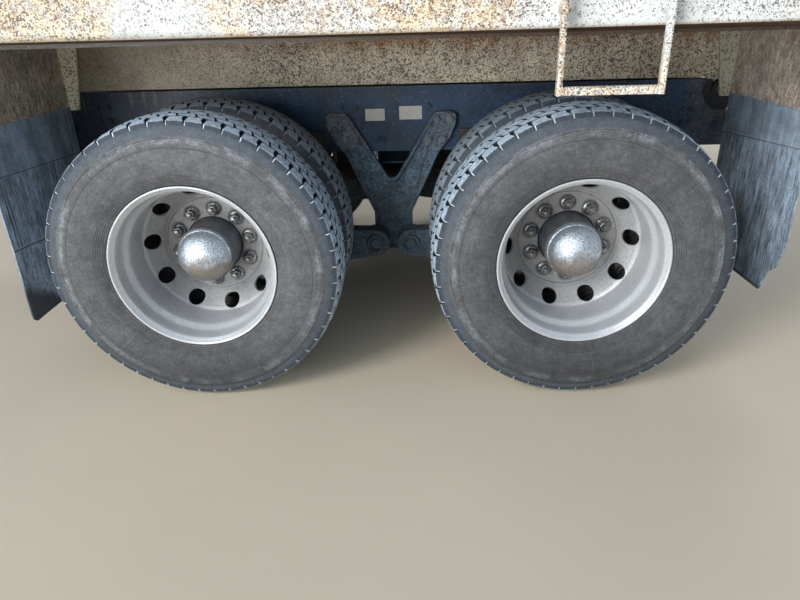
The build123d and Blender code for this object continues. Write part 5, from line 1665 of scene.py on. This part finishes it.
class TANDEM_OT_solids(bpy.types.Operator):
    """Paint, rust and dust on the solids that are shown as they are"""

    bl_idname = "tandem.solids"
    bl_label = "Finish the solids"

    def execute(self, context):
        for name, nodes in NODE_FINISHES.items():
            for node in nodes:
                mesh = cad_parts[node].data
                mesh.materials.clear()
                mesh.materials.append(finish(name))
        return {"FINISHED"}


# ---------------------------------------------------------------- stage


FLOOR_REACH, FLOOR_Z = 40.0, -0.001
SKY, SKY_LEVEL = ((0.80, 0.87, 1.0, 1), (0.60, 0.76, 1.0, 1)), 0.42
LAMPS = {
    "key": dict(place=(-7.0, -9.5, 7.5), aim=(0.1, -1.0, 0.7), size=5.2, power=915.0, tint=(1.0, 0.985, 0.95)),
    "fill": dict(
        place=(-2.2, -4.9, 0.9), aim=(0.5, -0.9, 1.05), size=3.0, power=27.0, tint=(0.94, 0.97, 1.0),
        spread=60.0,
    ),
    "back": dict(place=(5.5, 8.5, 6.5), aim=(0.0, 0.5, 0.7), size=5.0, power=330.0, tint=(1.0, 0.99, 0.97)),
}
CAMERA_TURN, CAMERA_PLACE, CAMERA_LENS = (2.16, 24.81, -1.56), (0.122, -3.207, 1.330), 28.0


def lamp(name, place, aim, size, power, tint, spread=180.0):
    """A round area light at a place, aimed at a point."""
    light = bpy.data.lights.new(name, "AREA")
    light.shape, light.size, light.energy, light.color = "DISK", size, power, tint
    light.spread = math.radians(spread)
    thing = linked(name, light)
    thing.location = place
    thing.rotation_euler = (Vector(aim) - Vector(place)).to_track_quat("-Z", "Y").to_euler()


def photo_camera():
    """The camera at the photograph's place and angle."""
    yaw, pitch, roll = (math.radians(degrees) for degrees in CAMERA_TURN)
    ahead = Vector((-math.sin(yaw) * math.cos(pitch), math.cos(yaw) * math.cos(pitch), -math.sin(pitch)))
    level = Vector((math.cos(yaw), math.sin(yaw), 0.0))
    above = level.cross(ahead)
    right = level * math.cos(roll) + above * math.sin(roll)
    up = above * math.cos(roll) - level * math.sin(roll)
    data = bpy.data.cameras.new("camera")
    data.sensor_fit, data.sensor_width, data.lens = "HORIZONTAL", 36.0, CAMERA_LENS
    data.clip_start, data.clip_end = 0.1, 100.0
    camera = linked("camera", data)
    turn = Matrix((right, up, -ahead)).transposed().to_4x4()
    camera.matrix_world = Matrix.Translation(CAMERA_PLACE) @ turn
    bpy.context.scene.camera = camera


class TANDEM_OT_stage(bpy.types.Operator):
    """Floor, studio light and camera"""

    bl_idname = "tandem.stage"
    bl_label = "Stage"

    def execute(self, context):
        scene = context.scene
        mesh = bpy.data.meshes.new("studio_floor")
        corners = oblong((-FLOOR_REACH, FLOOR_REACH), (-FLOOR_REACH, FLOOR_REACH))
        mesh.from_pydata([(x, y, FLOOR_Z) for x, y in corners], [], [(0, 1, 2, 3)])
        linked("studio_floor", mesh, finish("floor"))
        scene.world = bpy.data.worlds.new("studio")
        scene.world.use_nodes = True
        sky = Nodes(scene.world.node_tree)
        height = sky.part(sky.node("ShaderNodeTexCoord", (), "Generated"), "Z")
        rise = sky.node("ShaderNodeMapRange", {"Value": height, "From Min": -0.05, "From Max": 0.9})
        glow = sky.tree.nodes["Background"].inputs
        sky.feed(glow["Color"], sky.mix(rise, *SKY))
        sky.feed(glow["Strength"], SKY_LEVEL)
        for name, settings in LAMPS.items():
            lamp(name, **settings)
        scene.view_settings.view_transform = "Standard"
        photo_camera()
        return {"FINISHED"}


# ---------------------------------------------------------------- add-on

OPERATORS = (
    TANDEM_OT_tyres,
    TANDEM_OT_rims,
    TANDEM_OT_nuts,
    TANDEM_OT_hubs,
    TANDEM_OT_hangers,
    TANDEM_OT_frame_bolts,
    TANDEM_OT_air_springs,
    TANDEM_OT_mud_flaps,
    TANDEM_OT_steps,
    TANDEM_OT_labels,
    TANDEM_OT_solids,
    TANDEM_OT_stage,
)


class TANDEM_PT_panel(bpy.types.Panel):
    """Sizes, colours and the steps that dress the part"""

    bl_idname = "TANDEM_PT_panel"
    bl_label = "Rear tandem"
    bl_space_type = "VIEW_3D"
    bl_region_type = "UI"
    bl_category = "Tandem"

    def draw(self, context):
        for group in (context.scene.tandem_sizes, context.scene.tandem_colours):
            box = self.layout.box()
            for key in type(group).__annotations__:
                box.prop(group, key)
        for operator in OPERATORS:
            self.layout.operator(operator.bl_idname)


CLASSES = (TandemSizes, TandemColours, *OPERATORS, TANDEM_PT_panel)


def register():
    for item in CLASSES:
        bpy.utils.register_class(item)
    bpy.types.Scene.tandem_sizes = bpy.props.PointerProperty(type=TandemSizes)
    bpy.types.Scene.tandem_colours = bpy.props.PointerProperty(type=TandemColours)


def unregister():
    del bpy.types.Scene.tandem_colours
    del bpy.types.Scene.tandem_sizes
    for item in reversed(CLASSES):
        bpy.utils.unregister_class(item)


def main():
    register()
    for operator in OPERATORS:
        group, name = operator.bl_idname.split(".")
        getattr(getattr(bpy.ops, group), name)()


if __name__ == "__main__":
    main()
